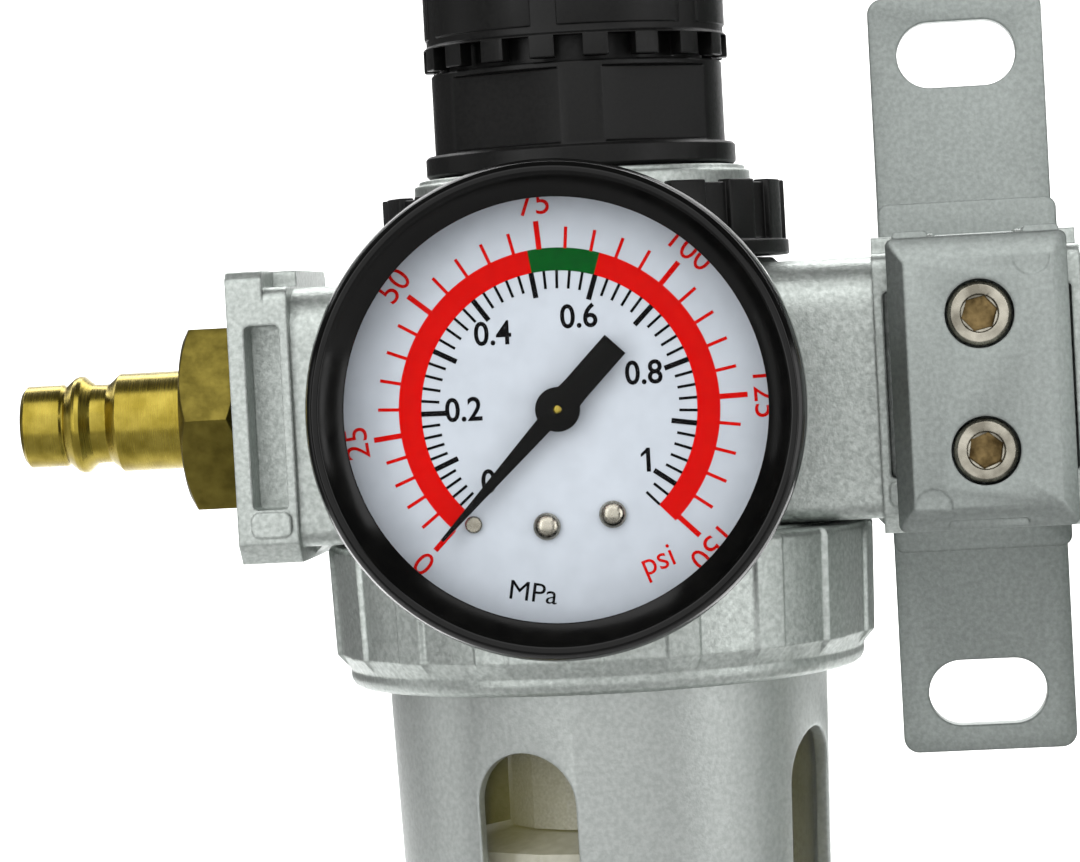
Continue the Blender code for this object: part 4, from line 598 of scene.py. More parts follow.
CLEAR = plain_finish("polycarbonate_clear", "#eef2f0", "#f8faf9", 0.03, 0.07, 5.0, 0.004,
                     Transmission_Weight=0.96, IOR=1.585)
GLASS, glass_tree, glass_shader, _ = finish_of("glass_flat_lens", 0.02, 1.0)
glass_shader.inputs["Base Color"].default_value = hex_colour("#ffffff")
reflection = add_node(glass_tree, "ShaderNodeFresnel", {"IOR": 1.08})
glass_tree.links.new(reflection.outputs[0], glass_shader.inputs["Alpha"])
print(len(bpy.data.materials), "materials")

# %% [markdown]
# ## Pressure gauge
# A 50 mm gauge: a pressed case, a rim crimped over it, a flat lens and a dial plate. All of it is turned about the
# axis of the gauge's stem, which points at the viewer, so heights here are depths in front of the body's axis. The
# rim's slope inwards is what mirrors the lights, so it has points of its own.

# %% Gauge case, rim and lens
CASE_BACK, CASE_FRONT, CASE_RADIUS, CASE_WALL, STEM_HOLE = 34.4, 55.0, 25.6, 1.0, 5.3
RIM_RADIUS, RIM_BACK, RIM_FRONT, RIM_BORE = 27.2, 49.5, 58.2, 25.9
SIGHT_RADIUS, SIGHT = 23.1, RIM_FRONT - 2.6
DIAL_RADIUS, DIAL_HOLE, DIAL_FRONT, LENS_BACK, SHEET = 24.3, 1.1, 50.5, 53.8, 0.6

bore = CASE_RADIUS - CASE_WALL
floor = CASE_BACK + CASE_WALL
gauge_case = turned("case_of_gauge", [
    (CASE_RADIUS, CASE_FRONT - 2), (CASE_RADIUS, CASE_BACK + 2), (CASE_RADIUS - 2, CASE_BACK),
    (STEM_HOLE, CASE_BACK), (STEM_HOLE, floor), (CASE_RADIUS - 2.4, floor), (bore, CASE_BACK + 2.4),
    (bore, CASE_FRONT - 2)], ENAMEL, REGULATOR, FRONT, 0.9, 128)
gauge_rim = turned("rim_of_gauge", [
    (RIM_BORE + 0.35, RIM_FRONT), (RIM_RADIUS - 0.35, RIM_FRONT - 0.75), (RIM_RADIUS, RIM_FRONT - 1.9),
    (RIM_RADIUS, RIM_BACK), (RIM_BORE, RIM_BACK), (RIM_BORE, SIGHT - 0.3), (SIGHT_RADIUS, SIGHT - 0.3),
    (SIGHT_RADIUS, SIGHT), (23.6, SIGHT + 0.35), (25.2, SIGHT + 2.0), (25.6, RIM_FRONT - 0.15)],
    ENAMEL, REGULATOR, FRONT, 0.45, 160)
print("gauge rim", RIM_RADIUS * 2, "mm across")

# %% Lens and dial plate
gauge_glass = turned("lens_of_gauge", [
    (0, SIGHT - SHEET), (DIAL_RADIUS, SIGHT - SHEET), (DIAL_RADIUS, LENS_BACK), (0, LENS_BACK)],
    GLASS, REGULATOR, FRONT, 0.1, 96)
dial_plate = turned("dial_plate", [
    (DIAL_HOLE, DIAL_FRONT), (DIAL_RADIUS, DIAL_FRONT), (DIAL_RADIUS, DIAL_FRONT - SHEET),
    (DIAL_HOLE, DIAL_FRONT - SHEET)], DIAL, REGULATOR, FRONT, 0.05, 128)
print("dial", DIAL_RADIUS * 2, "mm across")

# %% [markdown]
# ### Printed scales
# The outer scale is red, in psi, with a band beside it; the inner one is black, in MPa. Angles run clockwise from
# the top, and the whole dial is turned a little. Marks are thin solids, one pattern repeated about the axis by the
# node tree. Long marks lie a hair higher than short ones, so that faces never coincide.

# %% Scale angles and bands
INK_BACK, INK_FRONT = DIAL_FRONT + 0.01, DIAL_FRONT + 0.035
DIAL_TURN, POINTER_ZERO = 2.65, -135.6
ANGLE_AT_25, FIRST_STEP, LATER_STEP = -99.3, 39.1, 46.3
PSI_IN_MPA = 145.04
BAND_INNER, BAND_OUTER = 15.16, 17.67


def psi_angle(psi):
    """Clockwise angle from the top; the first stretch is a little tighter."""
    step = FIRST_STEP if psi < 25 else LATER_STEP
    return ANGLE_AT_25 + step * (psi - 25) / 25 + DIAL_TURN


def mpa_angle(pressure):
    """The two scales share one pointer, so they share their angles."""
    return psi_angle(pressure * PSI_IN_MPA)


def band(name, start, end, finish):
    """A stretch of the coloured band, with a point every two degrees."""
    start, end = start + DIAL_TURN, end + DIAL_TURN
    count = max(8, int(abs(end - start) / 2))
    outline = arc((0, 0), BAND_OUTER, 90 - start, 90 - end, count)
    outline += arc((0, 0), BAND_INNER, 90 - end, 90 - start, count)
    return prism(name, outline, INK_BACK, INK_FRONT, finish, REGULATOR, FRONT)


bands = [band("red_band_low", -139.0, -11.0, RED_INK), band("red_band_high", 15.0, 134.0, RED_INK),
         band("green_band", -11.0, 15.0, GREEN_INK)]
print("full scale is", round(psi_angle(150) - psi_angle(0), 1), "degrees from zero")


# %% Marks
def ticks(name, inner, outer, width, angles, finish, lift=0.005):
    """Marks at even angles: the pattern points up and is turned clockwise."""
    mark = prism("mark", [(-width / 2, inner), (width / 2, inner), (width / 2, outer), (-width / 2, outer)],
                 INK_BACK, INK_FRONT + lift, finish)
    step = -(angles[-1] - angles[0]) / (len(angles) - 1)
    return repeated(name, mark, len(angles), -angles[0], step, finish, REGULATOR, FRONT)


PSI_MARK, PSI_LONG = (17.6, 19.96, 0.36), (17.6, 20.7, 0.58)
MPA_MARK, MPA_LONG = (13.2, 15.2, 0.3), (12.4, 15.2, 0.56)
LONG_LIFT = 0.015
scales = [
    ticks("psi_marks_first", *PSI_MARK, [psi_angle(p) for p in range(0, 21, 5)], RED_INK),
    ticks("psi_marks", *PSI_MARK, [psi_angle(p) for p in range(25, 151, 5)], RED_INK),
    ticks("psi_marks_long_first", *PSI_LONG, [psi_angle(p) for p in (0, 25)], RED_INK, LONG_LIFT),
    ticks("psi_marks_long", *PSI_LONG, [psi_angle(p) for p in range(50, 151, 25)], RED_INK, LONG_LIFT),
    ticks("mpa_marks_first", *MPA_MARK, [mpa_angle(0.02 * i) for i in range(9)], BLACK_INK),
    ticks("mpa_marks", *MPA_MARK, [mpa_angle(0.02 * i) for i in range(9, 53)], BLACK_INK),
    ticks("mpa_marks_long_first", *MPA_LONG, [mpa_angle(0.1 * i) for i in range(2)], BLACK_INK, LONG_LIFT),
    ticks("mpa_marks_long", *MPA_LONG, [mpa_angle(0.1 * i) for i in range(2, 11)], BLACK_INK, LONG_LIFT),
]
print("marks", sum(len(piece.data.polygons) // 6 for piece in scales))

# %% [markdown]
# ### Numerals
# Text curves are made meshes, then placed. Red numerals stand outwards round the edge, black ones stand upright.
# Black print is a little bolder than the font. Its figure one is a bare stroke, so it gets a flag.

# %% Numerals
CAPITAL, INK_DEPTH, FLAG_LIFT = 1.38, 0.012, 0.016
PSI_REACH, PSI_HEIGHT, MPA_HEIGHT = 22.7, 2.75, 2.65


def lettering(name, text, height, x, y, tilt, finish, wide=1.06, bold=0.06):
    """Text with its middle at (x, y) on the dial, turned clockwise by `tilt` degrees."""
    curve = bpy.data.curves.new(name, "FONT")
    curve.body = text
    curve.align_x, curve.align_y = "CENTER", "CENTER"
    curve.size = height * CAPITAL
    curve.offset = bold
    curve.extrude = INK_DEPTH
    curve.resolution_u = 4
    carrier = linked(name, curve)
    mesh = bpy.data.meshes.new_from_object(carrier.evaluated_get(bpy.context.evaluated_depsgraph_get()))
    bpy.data.objects.remove(carrier, do_unlink=True)
    shape = bmesh.new()
    shape.from_mesh(mesh)
    shape.transform(Matrix.Diagonal((wide, 1, 1, 1)))
    low = min(v.co.y for v in shape.verts)
    high = max(v.co.y for v in shape.verts)
    if text[0] == "1":
        left = min(v.co.x for v in shape.verts)
        tall = high - low
        flag = [(0.06, 0), (-0.22, -0.24), (-0.22, -0.38), (0.06, -0.18)]
        shape.faces.new([shape.verts.new((left + across * tall, high + down * tall, FLAG_LIFT))
                         for across, down in flag])
    shape.transform(Matrix.Translation((0, -(low + high) / 2, 0)))
    shape.transform(Matrix.Rotation(-math.radians(DIAL_TURN + tilt), 4, "Z"))
    turned_x, turned_y = swung([(x, y)], -DIAL_TURN)[0]
    shape.transform(Matrix.Translation((turned_x, turned_y, (INK_BACK + INK_FRONT) / 2 + 0.004)))
    return settle(name, shape, finish, REGULATOR, FRONT)


numerals = []
for psi in (0, 25, 50, 75, 100, 125, 150):
    facing = psi_angle(psi) - DIAL_TURN
    reach = math.radians(90 - facing)
    numerals.append(lettering(f"psi_{psi}", str(psi), PSI_HEIGHT, PSI_REACH * math.cos(reach),
                              PSI_REACH * math.sin(reach), facing, RED_INK, 1.0, 0.0))
for text, x, y in (("0", -7.8, -7.9), ("0.2", -10.5, 0.0), ("0.4", -7.25, 8.34), ("0.6", 2.24, 10.2),
                   ("0.8", 9.32, 3.98), ("1", 9.76, -5.6)):
    numerals.append(lettering("mpa_" + text, text, MPA_HEIGHT, x, y, -DIAL_TURN, BLACK_INK, 0.94))
numerals.append(lettering("unit_mpa", "MPa", 2.2, -3.0, -20.1, 7.5, BLACK_INK, bold=0))
numerals.append(lettering("unit_psi", "psi", 2.7, 10.85, -16.96, -22.5, RED_INK, 0.95, 0.0))
print(len(numerals), "numerals")

# %% [markdown]
# ### Pointer and small parts
# The pointer is a stamped strip with a hub and a broad tail. Two domed screws hold the dial, and a pin stops the
# pointer at zero.

# %% Pointer, screws and pin
hub, tip, tail = 2.45, 19.2, -9.5
tip_half, root_half, tail_half = 0.18, 0.95, 1.5
outline = [(-tip_half, tip), (-root_half, hub * 0.8)] + arc((0, 0), hub, 112, 230, 14)
outline += [(-tail_half, -hub - 0.6), (-tail_half, tail), (tail_half, tail), (tail_half, -hub - 0.6)]
outline += arc((0, 0), hub, 310, 428, 14) + [(root_half, hub * 0.8), (tip_half, tip)]
arm = DIAL_FRONT + GAP + 1.0
pointer = prism("pointer_of_gauge", swung(outline, -POINTER_ZERO), arm, arm + 0.8, LACQUER, REGULATOR, FRONT)
softened(pointer, 0.12)
arbor = turned("pointer_arbor_pin", [
    (0, arm + 1.1), (0.3, arm + 1.08), (0.48, arm + 0.95), (0.48, DIAL_FRONT - 4), (0, DIAL_FRONT - 4)],
    BRASS, REGULATOR, FRONT, 0.05, 32)
print("pointer at", POINTER_ZERO, "degrees")

# %% Screws and pin
SCREW_REACH, SCREW_ANGLES, PIN_REACH, PIN_ANGLE = 12.95, (188.8, 155.8), 15.8, -140.6


def round_dial(radius, clockwise):
    """A place on the dial, by its distance from the middle and its angle from the top."""
    reach = math.radians(90 - clockwise)
    return offset(REGULATOR, radius * math.cos(reach), 0, radius * math.sin(reach))


low = DIAL_FRONT + GAP
dome = [(0, low + 0.95), (0.6, low + 0.88), (1.05, low + 0.68), (1.35, low + 0.4), (1.5, low + 0.12),
        (1.52, low), (0, low)]
screw_left, screw_right = (
    turned("dial_screw_dome_" + side, dome, STEEL, round_dial(SCREW_REACH, angle), FRONT, 0.05, 40)
    for side, angle in zip(("left", "right"), SCREW_ANGLES))
stop_pin = turned("stop_pin", [(0, low + 0.4), (0.8, low + 0.38), (0.95, low + 0.2), (0.95, low), (0, low)],
                  STEEL, round_dial(PIN_REACH, PIN_ANGLE), FRONT, 0.05, 32)
print("dial screws", SCREW_REACH, "mm from the middle")

# %% [markdown]
# ## Bodies
# Both units share one casting: a round middle with a wide lower neck, an arm to each side with a rounded shoulder,
# and a clamp flange with a pocket for the clamp's jaws. We turn the middle, join arms and flanges, and bore it last.
# Heights are above the ports' axis.

# %% Body sizes
BODY_HALF, BODY_RADIUS, BODY_TOP = 42.0, 23.75, 16.0
NECK_RADIUS, NECK_TOP, NECK_BOTTOM, NECK_BORE = 28.6, -15.9, -28.0, 25.1
LEDGE, CAVITY, CAVITY_TOP = -17.0, 22.0, -9.0
RING_RADIUS, RIB_RISE, RING_BORE = 33.0, 0.5, 28.9
FLANGE_DEPTH, FLANGE_HIGH, LIP, STEP = 16.8, 17.5, 4.0, 3.3
POCKET_START, POCKET_WIDTH, POCKET_HIGH, POCKET_DEEP = 2.0, 4.2, 11.0, 5.2
ARM_BOTTOM, ARM_TOP, ARM_HALF = -15.7, 15.3, 15.8
print("ports are", 2 * BODY_HALF, "mm apart")


# %% Flanges
def flange_outline(notch):
    """A flange seen along X: bevelled at the lower front, lower at the upper front when it is the step."""
    deep, high = FLANGE_DEPTH, FLANGE_HIGH
    outline = [(-deep + 2.4, -high), (deep, -high)]
    if notch:
        outline += [(deep, high - 1), (deep - 1, high), (9 - deep, high), (9 - deep, high - 2)]
        outline += arc((-deep + 2, high - 4), 2, 90, 180, 8)
    else:
        outline += [(deep, high - 1), (deep - 1, high), (1 - deep, high), (-deep, high - 1)]
    return outline + [(-deep, -high + 2.4)]


def join_flange(body, place, side):
    """Lip, step, pad and gusset of one flange, then the two pockets."""
    face = side * BODY_HALF
    lip_root, overlap = face - side * LIP, 0.4
    step_root = lip_root - side * STEP
    lip_ends, step_ends = sorted((face, lip_root - side * overlap)), sorted((lip_root, step_root))
    lip = prism("lip", eased(flange_outline(False), 0.5), *lip_ends, None, place, RIGHT)
    step = prism("step", eased(flange_outline(True), 0.4), *step_ends, None, place, RIGHT)
    pocket = face - side * (POCKET_START + POCKET_WIDTH / 2)
    high = -POCKET_HIGH - GAP
    pad = prism("pad", rounded(pocket - 2.4, high - 3, pocket + 2.4, high, (1, 1, 1, 1)), FLANGE_DEPTH - 1,
                FLANGE_DEPTH + 0.5, None, place, FRONT)
    foot = step_root + side * overlap
    toe = side * (RING_RADIUS + RIB_RISE + GAP)
    gusset = [(foot, -FLANGE_HIGH), (foot, ARM_BOTTOM + 2), (toe - side * 2, ARM_BOTTOM + 2),
              (toe - side * 2, ARM_BOTTOM + overlap), (toe, ARM_BOTTOM - overlap)]
    gusset = prism("gusset", gusset if side < 0 else gusset[::-1], -4, 4, None, place, FRONT)
    joined(body, lip, step, pad, gusset)
    half = (POCKET_DEEP + 1) / 2
    deep = FLANGE_DEPTH - POCKET_DEEP + half
    shape = eased(plate(POCKET_WIDTH / 2, POCKET_HIGH, 0.6, 3), 0.01)
    cut(body, *(prism("pocket", shape, middle - half, middle + half, None, offset(place, pocket), FRONT)
                for middle in (deep, -deep)))


# %% Shared casting
def service_body(name, place, top):
    """The casting that both units share, below the given top of its profile."""
    profile = top + [(BODY_RADIUS - 1, BODY_TOP), (BODY_RADIUS, BODY_TOP - 1), (BODY_RADIUS, NECK_TOP),
                     (NECK_RADIUS, NECK_TOP), (NECK_RADIUS, NECK_BOTTOM), (NECK_BORE, NECK_BOTTOM),
                     (NECK_BORE, LEDGE), (CAVITY, LEDGE), (CAVITY, CAVITY_TOP)]
    body = turned(name, profile, CAST, place, UP, 0.4, 96)
    section = rounded(-ARM_HALF, ARM_BOTTOM, ARM_HALF, ARM_TOP, (2.0, 6.5, 6.5, 2.0), 8)
    for side in (-1, 1):
        ends = sorted((side * (BODY_HALF - LIP - STEP + 0.4), side * (CAVITY - 4)))
        joined(body, prism("arm", section, *ends, None, place, RIGHT))
        join_flange(body, place, side)
    return body


# %% [markdown]
# The regulator's body also has two bosses for gauges and the valve chamber, and the lubricator's body has a floor
# for the sight dome, with the filler hole beside it. Threads in the ports are cut as fine grooves: a true helix
# would look the same in so deep a hole.

# %% Ports
PITCH, DRILLED, THREADED, COUNTERSUNK, PASSAGE = 1.8, 9.3, 9.75, 9.9, 7.0


def port_profile(inner):
    """A threaded port: eight grooves, then the plain passage."""
    profile = [(0, BODY_HALF + 1), (COUNTERSUNK, BODY_HALF + 1), (COUNTERSUNK, BODY_HALF - 0.3),
               (DRILLED, BODY_HALF - 0.9)]
    for i in range(8):
        x = BODY_HALF - 1.2 - i * PITCH
        profile += [(DRILLED, x), (DRILLED, x - 0.25), (THREADED, x - 0.8), (THREADED, x - 1.0),
                    (DRILLED, x - 1.55)]
    return profile + [(DRILLED, BODY_HALF - 16), (PASSAGE, BODY_HALF - 18), (PASSAGE, inner), (0, inner)]


print("port profile of", len(port_profile(0)), "points")

# %% Regulator body
top = [(13.0, CAVITY_TOP), (13.0, -27.0), (0, -27.0), (0, 27.4), (19.9, 27.4), (19.9, 26.8), (20.5, 26.8),
       (20.5, BODY_TOP)]
regulator = service_body("casting_of_regulator", REGULATOR, top)
joined(regulator, bar("bosses", 10.0, -24.6, 24.6, REGULATOR, FRONT))
chamber = [(0, 28.4), (17.6, 28.4), (17.6, 9.0), (9.0, 9.0), (9.0, -7.6), (5.5, -7.6), (5.5, -10.0), (10.0, -10.0),
           (10.0, -28.0), (0, -28.0)]
cut(regulator, turned("chamber", chamber, None, REGULATOR, UP, 0, 96),
    turned("outlet", port_profile(7.0), None, REGULATOR, RIGHT, 0, 64),
    turned("inlet", port_profile(14.0), None, REGULATOR, LEFT, 0, 64),
    bar("inlet drop", 3.6, CAVITY_TOP - 1, 0, offset(REGULATOR, -18.0), UP, 32),
    bar("gauge ports", 4.9, -25.6, 25.6, REGULATOR, FRONT, 48))
print("regulator casting", len(regulator.data.polygons), "faces")

# %% Lubricator body
FILL = (12.1, -13.2)
top = [(0, CAVITY_TOP), (0, 21.0), (21.5, 21.0), (23.0, 19.5), (23.0, BODY_TOP)]
oiler = service_body("casting_of_lubricator", LUBRICATOR, top)
half_bore = port_profile(0)[:-2]
through = half_bore + [(radius, -height) for radius, height in reversed(half_bore)]
cut(oiler, bar("dome bore", 12.0, 13.0, 22.0, LUBRICATOR, UP, 96),
    turned("air passage", through, None, LUBRICATOR, RIGHT, 0, 64),
    bar("drip hole", 2.7, 0, 14.0, LUBRICATOR, UP, 32),
    bar("siphon hole", 2.1, CAVITY_TOP - 1, 14.0, offset(LUBRICATOR, 0, 9.6), UP, 32),
    bar("fill hole", 3.1, CAVITY_TOP - 1, 22.0, offset(LUBRICATOR, *FILL), UP, 32))
print("lubricator casting", len(oiler.data.polygons), "faces")

# %% [markdown]
# ## Bowl ring, guard and bowl
# The ring nut has broad raised ribs to grip. The guard is a can with four round-topped windows, and the amber bowl
# hangs inside it. Both units have the same set, so one loop makes it twice. The ribs could be copies of one rib, but
# a loop of spokes lets rib and ring be one closed skin, as in the casting.

# %% Ring nut
GUARD_RADIUS, GUARD_TAPER, GUARD_WALL, GUARD_BOTTOM = 26.85, 2.6, 1.5, -128.0
RING_BOTTOM, RIB_STEP, FIRST_RIB, RIM = -33.5, 20.0, -114.0, 31.4
RIB_RADIUS = RING_RADIUS + RIB_RISE


def ring_nut(name, place):
    """A ring with 18 ribs, narrower towards its foot, on a rounded rim."""
    spokes = []
    for i in range(18):
        start = i * RIB_STEP + FIRST_RIB
        spokes += [(start, RING_RADIUS), (start + 0.35, RING_RADIUS + 0.15), (start + 0.8, RIB_RADIUS)]
        spokes += [(start + 0.8 + 1.6 * k, RIB_RADIUS) for k in range(1, 4)]
        spokes += [(start + 7.2, RIB_RADIUS), (start + 7.65, RING_RADIUS + 0.15), (start + 8, RING_RADIUS)]
        spokes += [(start + 8 + 2.4 * k, RING_RADIUS) for k in range(1, 5)]
    high, ledge, lip = NECK_TOP - GAP, NECK_BOTTOM - 2.8, GUARD_RADIUS + GAP
    rim = [(-1.5, RING_BOTTOM), (-0.9, RING_BOTTOM + 0.12), (-0.35, RING_BOTTOM + 0.5),
           (-0.05, RING_BOTTOM + 1.05), (0, RING_BOTTOM + 1.5), (0, -31.35), (0.25, -30.95)]
    ribs = [(-0.75, -29.75), (-0.5, -29.45), (-0.1, high - 0.7), (-0.35, high - 0.2), (-0.8, high)]
    loops = [even(spokes, lip, RING_BOTTOM)]
    loops += [even(spokes, RIM + change, height) for change, height in rim]
    loops += [grown(spokes, change, height) for change, height in ribs]
    loops += [even(spokes, RING_BORE, high), even(spokes, RING_BORE, ledge), even(spokes, lip, ledge)]
    return lofted(name, loops, CAST, place, UP, capped=False, sharp=24)


# %% Guard and bowl
WINDOW_TURN, WINDOW_HALF, WINDOW_TOP, WINDOW_BOTTOM = -19.3, 6.25, -40.4, -112.0
DRAIN_HOLE, OUTER_ROUND, INNER_ROUND, BOWL_WALL, BOWL_TOP = 7.8, 7, 5.5, 2.4, -19.2


def guard_can(name, place):
    """The guard: turned, then cut through by two long windows at right angles."""
    top, low, foot = NECK_BOTTOM - GAP, GUARD_BOTTOM, GUARD_RADIUS - GUARD_TAPER
    bore = foot - GUARD_WALL
    profile = [(NECK_RADIUS, top), (NECK_RADIUS, top - 2.2), (GUARD_RADIUS, top - 2.2)]
    profile += arc((foot - OUTER_ROUND, low + OUTER_ROUND), OUTER_ROUND, 0, -90, 10)
    profile += [(DRAIN_HOLE, low), (DRAIN_HOLE, low + GUARD_WALL)]
    profile += arc((bore - INNER_ROUND, low + OUTER_ROUND), INNER_ROUND, -90, 0, 10)
    profile += [(GUARD_RADIUS - GUARD_WALL, top)]
    can = turned(name, profile, GUARD_METAL, place, UP, 0.15, 128)
    outline = arc((0, WINDOW_TOP - WINDOW_HALF), WINDOW_HALF, 0, 180, 24)
    outline += arc((0, WINDOW_BOTTOM + WINDOW_HALF), WINDOW_HALF, 180, 360, 24)
    turns = [(math.pi / 2, 0, math.radians(WINDOW_TURN + 90 * i)) for i in range(2)]
    cut(can, *(prism("window", outline, -30, 30, None, place, turn) for turn in turns))
    return softened(can, 0.35, 3, 50)


def bowl_shell(name, place):
    """The bowl inside the guard, of the same wall from lip to floor."""
    outer, low = NECK_BORE - GAP, GUARD_BOTTOM + GUARD_WALL + GAP
    foot = GUARD_RADIUS - GUARD_TAPER - GUARD_WALL - GAP
    bend = (foot - INNER_ROUND, low + INNER_ROUND)
    profile = [(outer, BOWL_TOP), (outer, NECK_BOTTOM)]
    profile += arc(bend, INNER_ROUND, 0, -90, 10)
    profile += [(DRAIN_HOLE, low), (DRAIN_HOLE, low + BOWL_WALL)]
    profile += arc(bend, INNER_ROUND - BOWL_WALL, -90, 0, 10)
    profile += [(outer - BOWL_WALL, BOWL_TOP)]
    return turned(name, profile, AMBER, place, UP, 0.3, 96)


# %% Drain
WING = ((0, 9.35), (0.06, 9.5), (0.39, 9.5), (0.45, 9.35), (0.53, 8.6), (0.6, 8.5), (0.85, 8.5), (0.94, 8.7))


def winged(count, wing):
    """Spokes of a grip: one wing, drawn as shares of its angle, all the way round."""
    return [((i + part) * 360 / count, radius) for i in range(count) for part, radius in wing]


def drain(prefix, place):
    """Drain body through the bowl's floor, and the winged knob that opens it."""
    inside, spout = GUARD_BOTTOM + GUARD_WALL + 2 * GAP + BOWL_WALL, GUARD_BOTTOM - 16
    foot, hose_bore, hole = GUARD_BOTTOM - 2, 2.2, 4.5
    body = turned(prefix + "_drain_stem", [
        (hose_bore, inside + 2), (10.5, inside + 2), (10.5, inside), (7.5, inside), (7.5, foot), (4.2, foot),
        (4.2, spout + 4), (3.6, spout + 3.5), (4.1, spout + 2), (3.4, spout), (hose_bore, spout)],
        NYLON, place, UP, 0.25, 64)
    high = foot - GAP
    wings = winged(6, WING)
    loops = [even(wings, hole, high - 8), even(wings, 7.5, high - 8), grown(wings, -0.4, high - 7.3),
             wheel(wings, high - 6.6), wheel(wings, high - 0.5), grown(wings, -0.4, high),
             even(wings, hole, high)]
    return body, lofted(prefix + "_drain_grip", loops, NYLON, place, UP, capped=False)


# %% Both sets
sets = {}
for prefix, place in (("filter", REGULATOR), ("lubricator", LUBRICATOR)):
    stem, grip = drain(prefix, place)
    sets[prefix] = {"ring": ring_nut(prefix + "_ring_nut", place),
                    "guard": guard_can(prefix + "_guard_can", place),
                    "bowl": bowl_shell(prefix + "_bowl_shell", place), "stem": stem, "grip": grip}
    print(prefix, "guard", len(sets[prefix]["guard"].data.polygons), "faces")

# %% [markdown]
# ## Regulator top
# A grooved panel nut, the bonnet with two pairs of flats that a spanner grips, and the knob whose castellated skirt
# locks on the bonnet when it is pushed down. The nut's lands and the skirt's windows are patterns repeated by the
# node tree. The flats are part of the bonnet's loops, because cutting them would leave ragged edges.

# %% Panel nut
NUT_BORE, NUT_RADIUS, NUT_LOW, LANDS = 20.8, 23.8, BODY_TOP + GAP, 18


def arc_block(inner, outer, span, low, high, ease):
    """A block bent round the axis, centred at angle 0, with eased edges."""
    outline = arc((0, 0), outer, -span / 2, span / 2, 6) + arc((0, 0), inner, span / 2, -span / 2, 6)
    return softened(prism("pattern", outline, low, high, NYLON), ease, 2, 30)


nut_core = turned("nut_core", [
    (NUT_BORE, NUT_LOW), (24.8, NUT_LOW), (24.8, NUT_LOW + 1.8), (NUT_RADIUS, NUT_LOW + 2.0),
    (NUT_RADIUS, NUT_LOW + 8.7), (NUT_BORE, NUT_LOW + 8.7)], NYLON, REGULATOR, UP, 0.25, 108)
land = arc_block(22.5, 24.5, 11.2, NUT_LOW + 1.0, NUT_LOW + 9.0, 0.2)
nut_lands = repeated("nut_lands", land, LANDS, 5, 360 / LANDS, NYLON, REGULATOR)
nut = together("grooved_panel_nut", nut_core, nut_lands)
print("panel nut with", LANDS, "lands")

# %% Bonnet
FLAT, BONNET, BONNET_BORE = 16.0, 17.7, 13.0
FLAT_MIDDLES, PLAIN_SPANS = (-117.4, -51.0, 62.6, 129.0), (66.4, 113.6, 66.4, 113.6)
half_angle = math.degrees(math.acos(FLAT / BONNET))
flats = []
for middle, gap in zip(FLAT_MIDDLES, PLAIN_SPANS):
    for part in (-1.0, -0.97, -0.5, 0, 0.5, 0.97, 1.0):
        across = part * half_angle
        flats.append((middle + across, FLAT / math.cos(math.radians(across)) if abs(part) < 1 else BONNET))
    steps = math.ceil((gap - 2 * half_angle) / 3.5)
    flats += [(middle + half_angle + (gap - 2 * half_angle) * i / steps, BONNET) for i in range(1, steps)]

low = 27.7
lower = [(BONNET_BORE, 10.8), (17.3, 10.8), (17.3, low), (18.6, low), (18.9, low + 0.3), (18.9, low + 2.3),
         (18.6, low + 2.6), (17.75, low + 2.6), (BONNET, low + 2.75)]
upper = [(BONNET, 39.5), (BONNET, 40.0), (17.5, 40.2), (15.4, 40.2), (15.4, 50.0), (4.3, 50.0), (4.3, 46.4),
         (BONNET_BORE, 46.4)]
loops = [even(flats, radius, height) for radius, height in lower]
loops += [wheel(flats, low + 3.0), wheel(flats, 39.3)]
loops += [even(flats, radius, height) for radius, height in upper]
bonnet = lofted("bonnet_housing", loops, NYLON, REGULATOR, UP, capped=False, sharp=30)
print("bonnet outline of", len(flats), "points")

# %% Knob
KNOB, KNOB_LOW, KNOB_TOP, SKIRT, KNOB_BORE, DRIVE = 18.1, 40.6, 70.0, 18.5, 16.6, 8.0
SKIRT_TOP, TOP_ROUND, FLUTE_HALF, FLUTES, WINDOWS = KNOB_LOW + 3.0, 2.5, 1.2, 6, 18
knob_profile = [(0, 68.8), (13.1, 68.8), (13.7, KNOB_TOP)]
knob_profile += arc((KNOB - TOP_ROUND, KNOB_TOP - TOP_ROUND), TOP_ROUND, 90, 0, 8)
knob_profile += [(KNOB, SKIRT_TOP + 1.0), (KNOB, SKIRT_TOP), (SKIRT, SKIRT_TOP - 0.3), (SKIRT, KNOB_LOW),
                 (KNOB_BORE, KNOB_LOW), (KNOB_BORE, 66.0), (DRIVE, 66.0), (DRIVE, 51.0), (0, 51.0)]
knob = turned("knob_cap", knob_profile, NYLON, REGULATOR, UP, 0.2, 144)
window_size = (2 * SKIRT * math.sin(math.radians(5.3)), 6.0, 3.6)
window = block("window", window_size, (0, -17.5, KNOB_LOW + 0.8))
windows = repeated("windows", window, WINDOWS, 2, 360 / WINDOWS, NYLON, REGULATOR)
flute_low = SKIRT_TOP + 1.7
flute = [(-FLUTE_HALF, flute_low), (FLUTE_HALF, flute_low), (FLUTE_HALF, 66.5), (-FLUTE_HALF, 66.5)]
flute = prism("flute", eased(flute, 1.15, 6), 17.3, 19.5, None, (0, 0, 0), FRONT)
flutes = repeated("flutes", flute, FLUTES, 22.7, 360 / FLUTES, NYLON, REGULATOR)
socket = prism("drive socket", polygon(6, 4.8), 50.0, 64.0, None, REGULATOR)
softened(cut(knob, windows, flutes, socket), 0.18, 2, 45)
panel = arc_block(17.9, 18.32, 50, SKIRT_TOP + 0.8, 66.2, 0.18)
panels = repeated("panels", panel, FLUTES, -7, 360 / FLUTES, NYLON, REGULATOR)
knob = together("adjusting_knob_cap", knob, panels)
print("knob", len(knob.data.polygons), "faces")

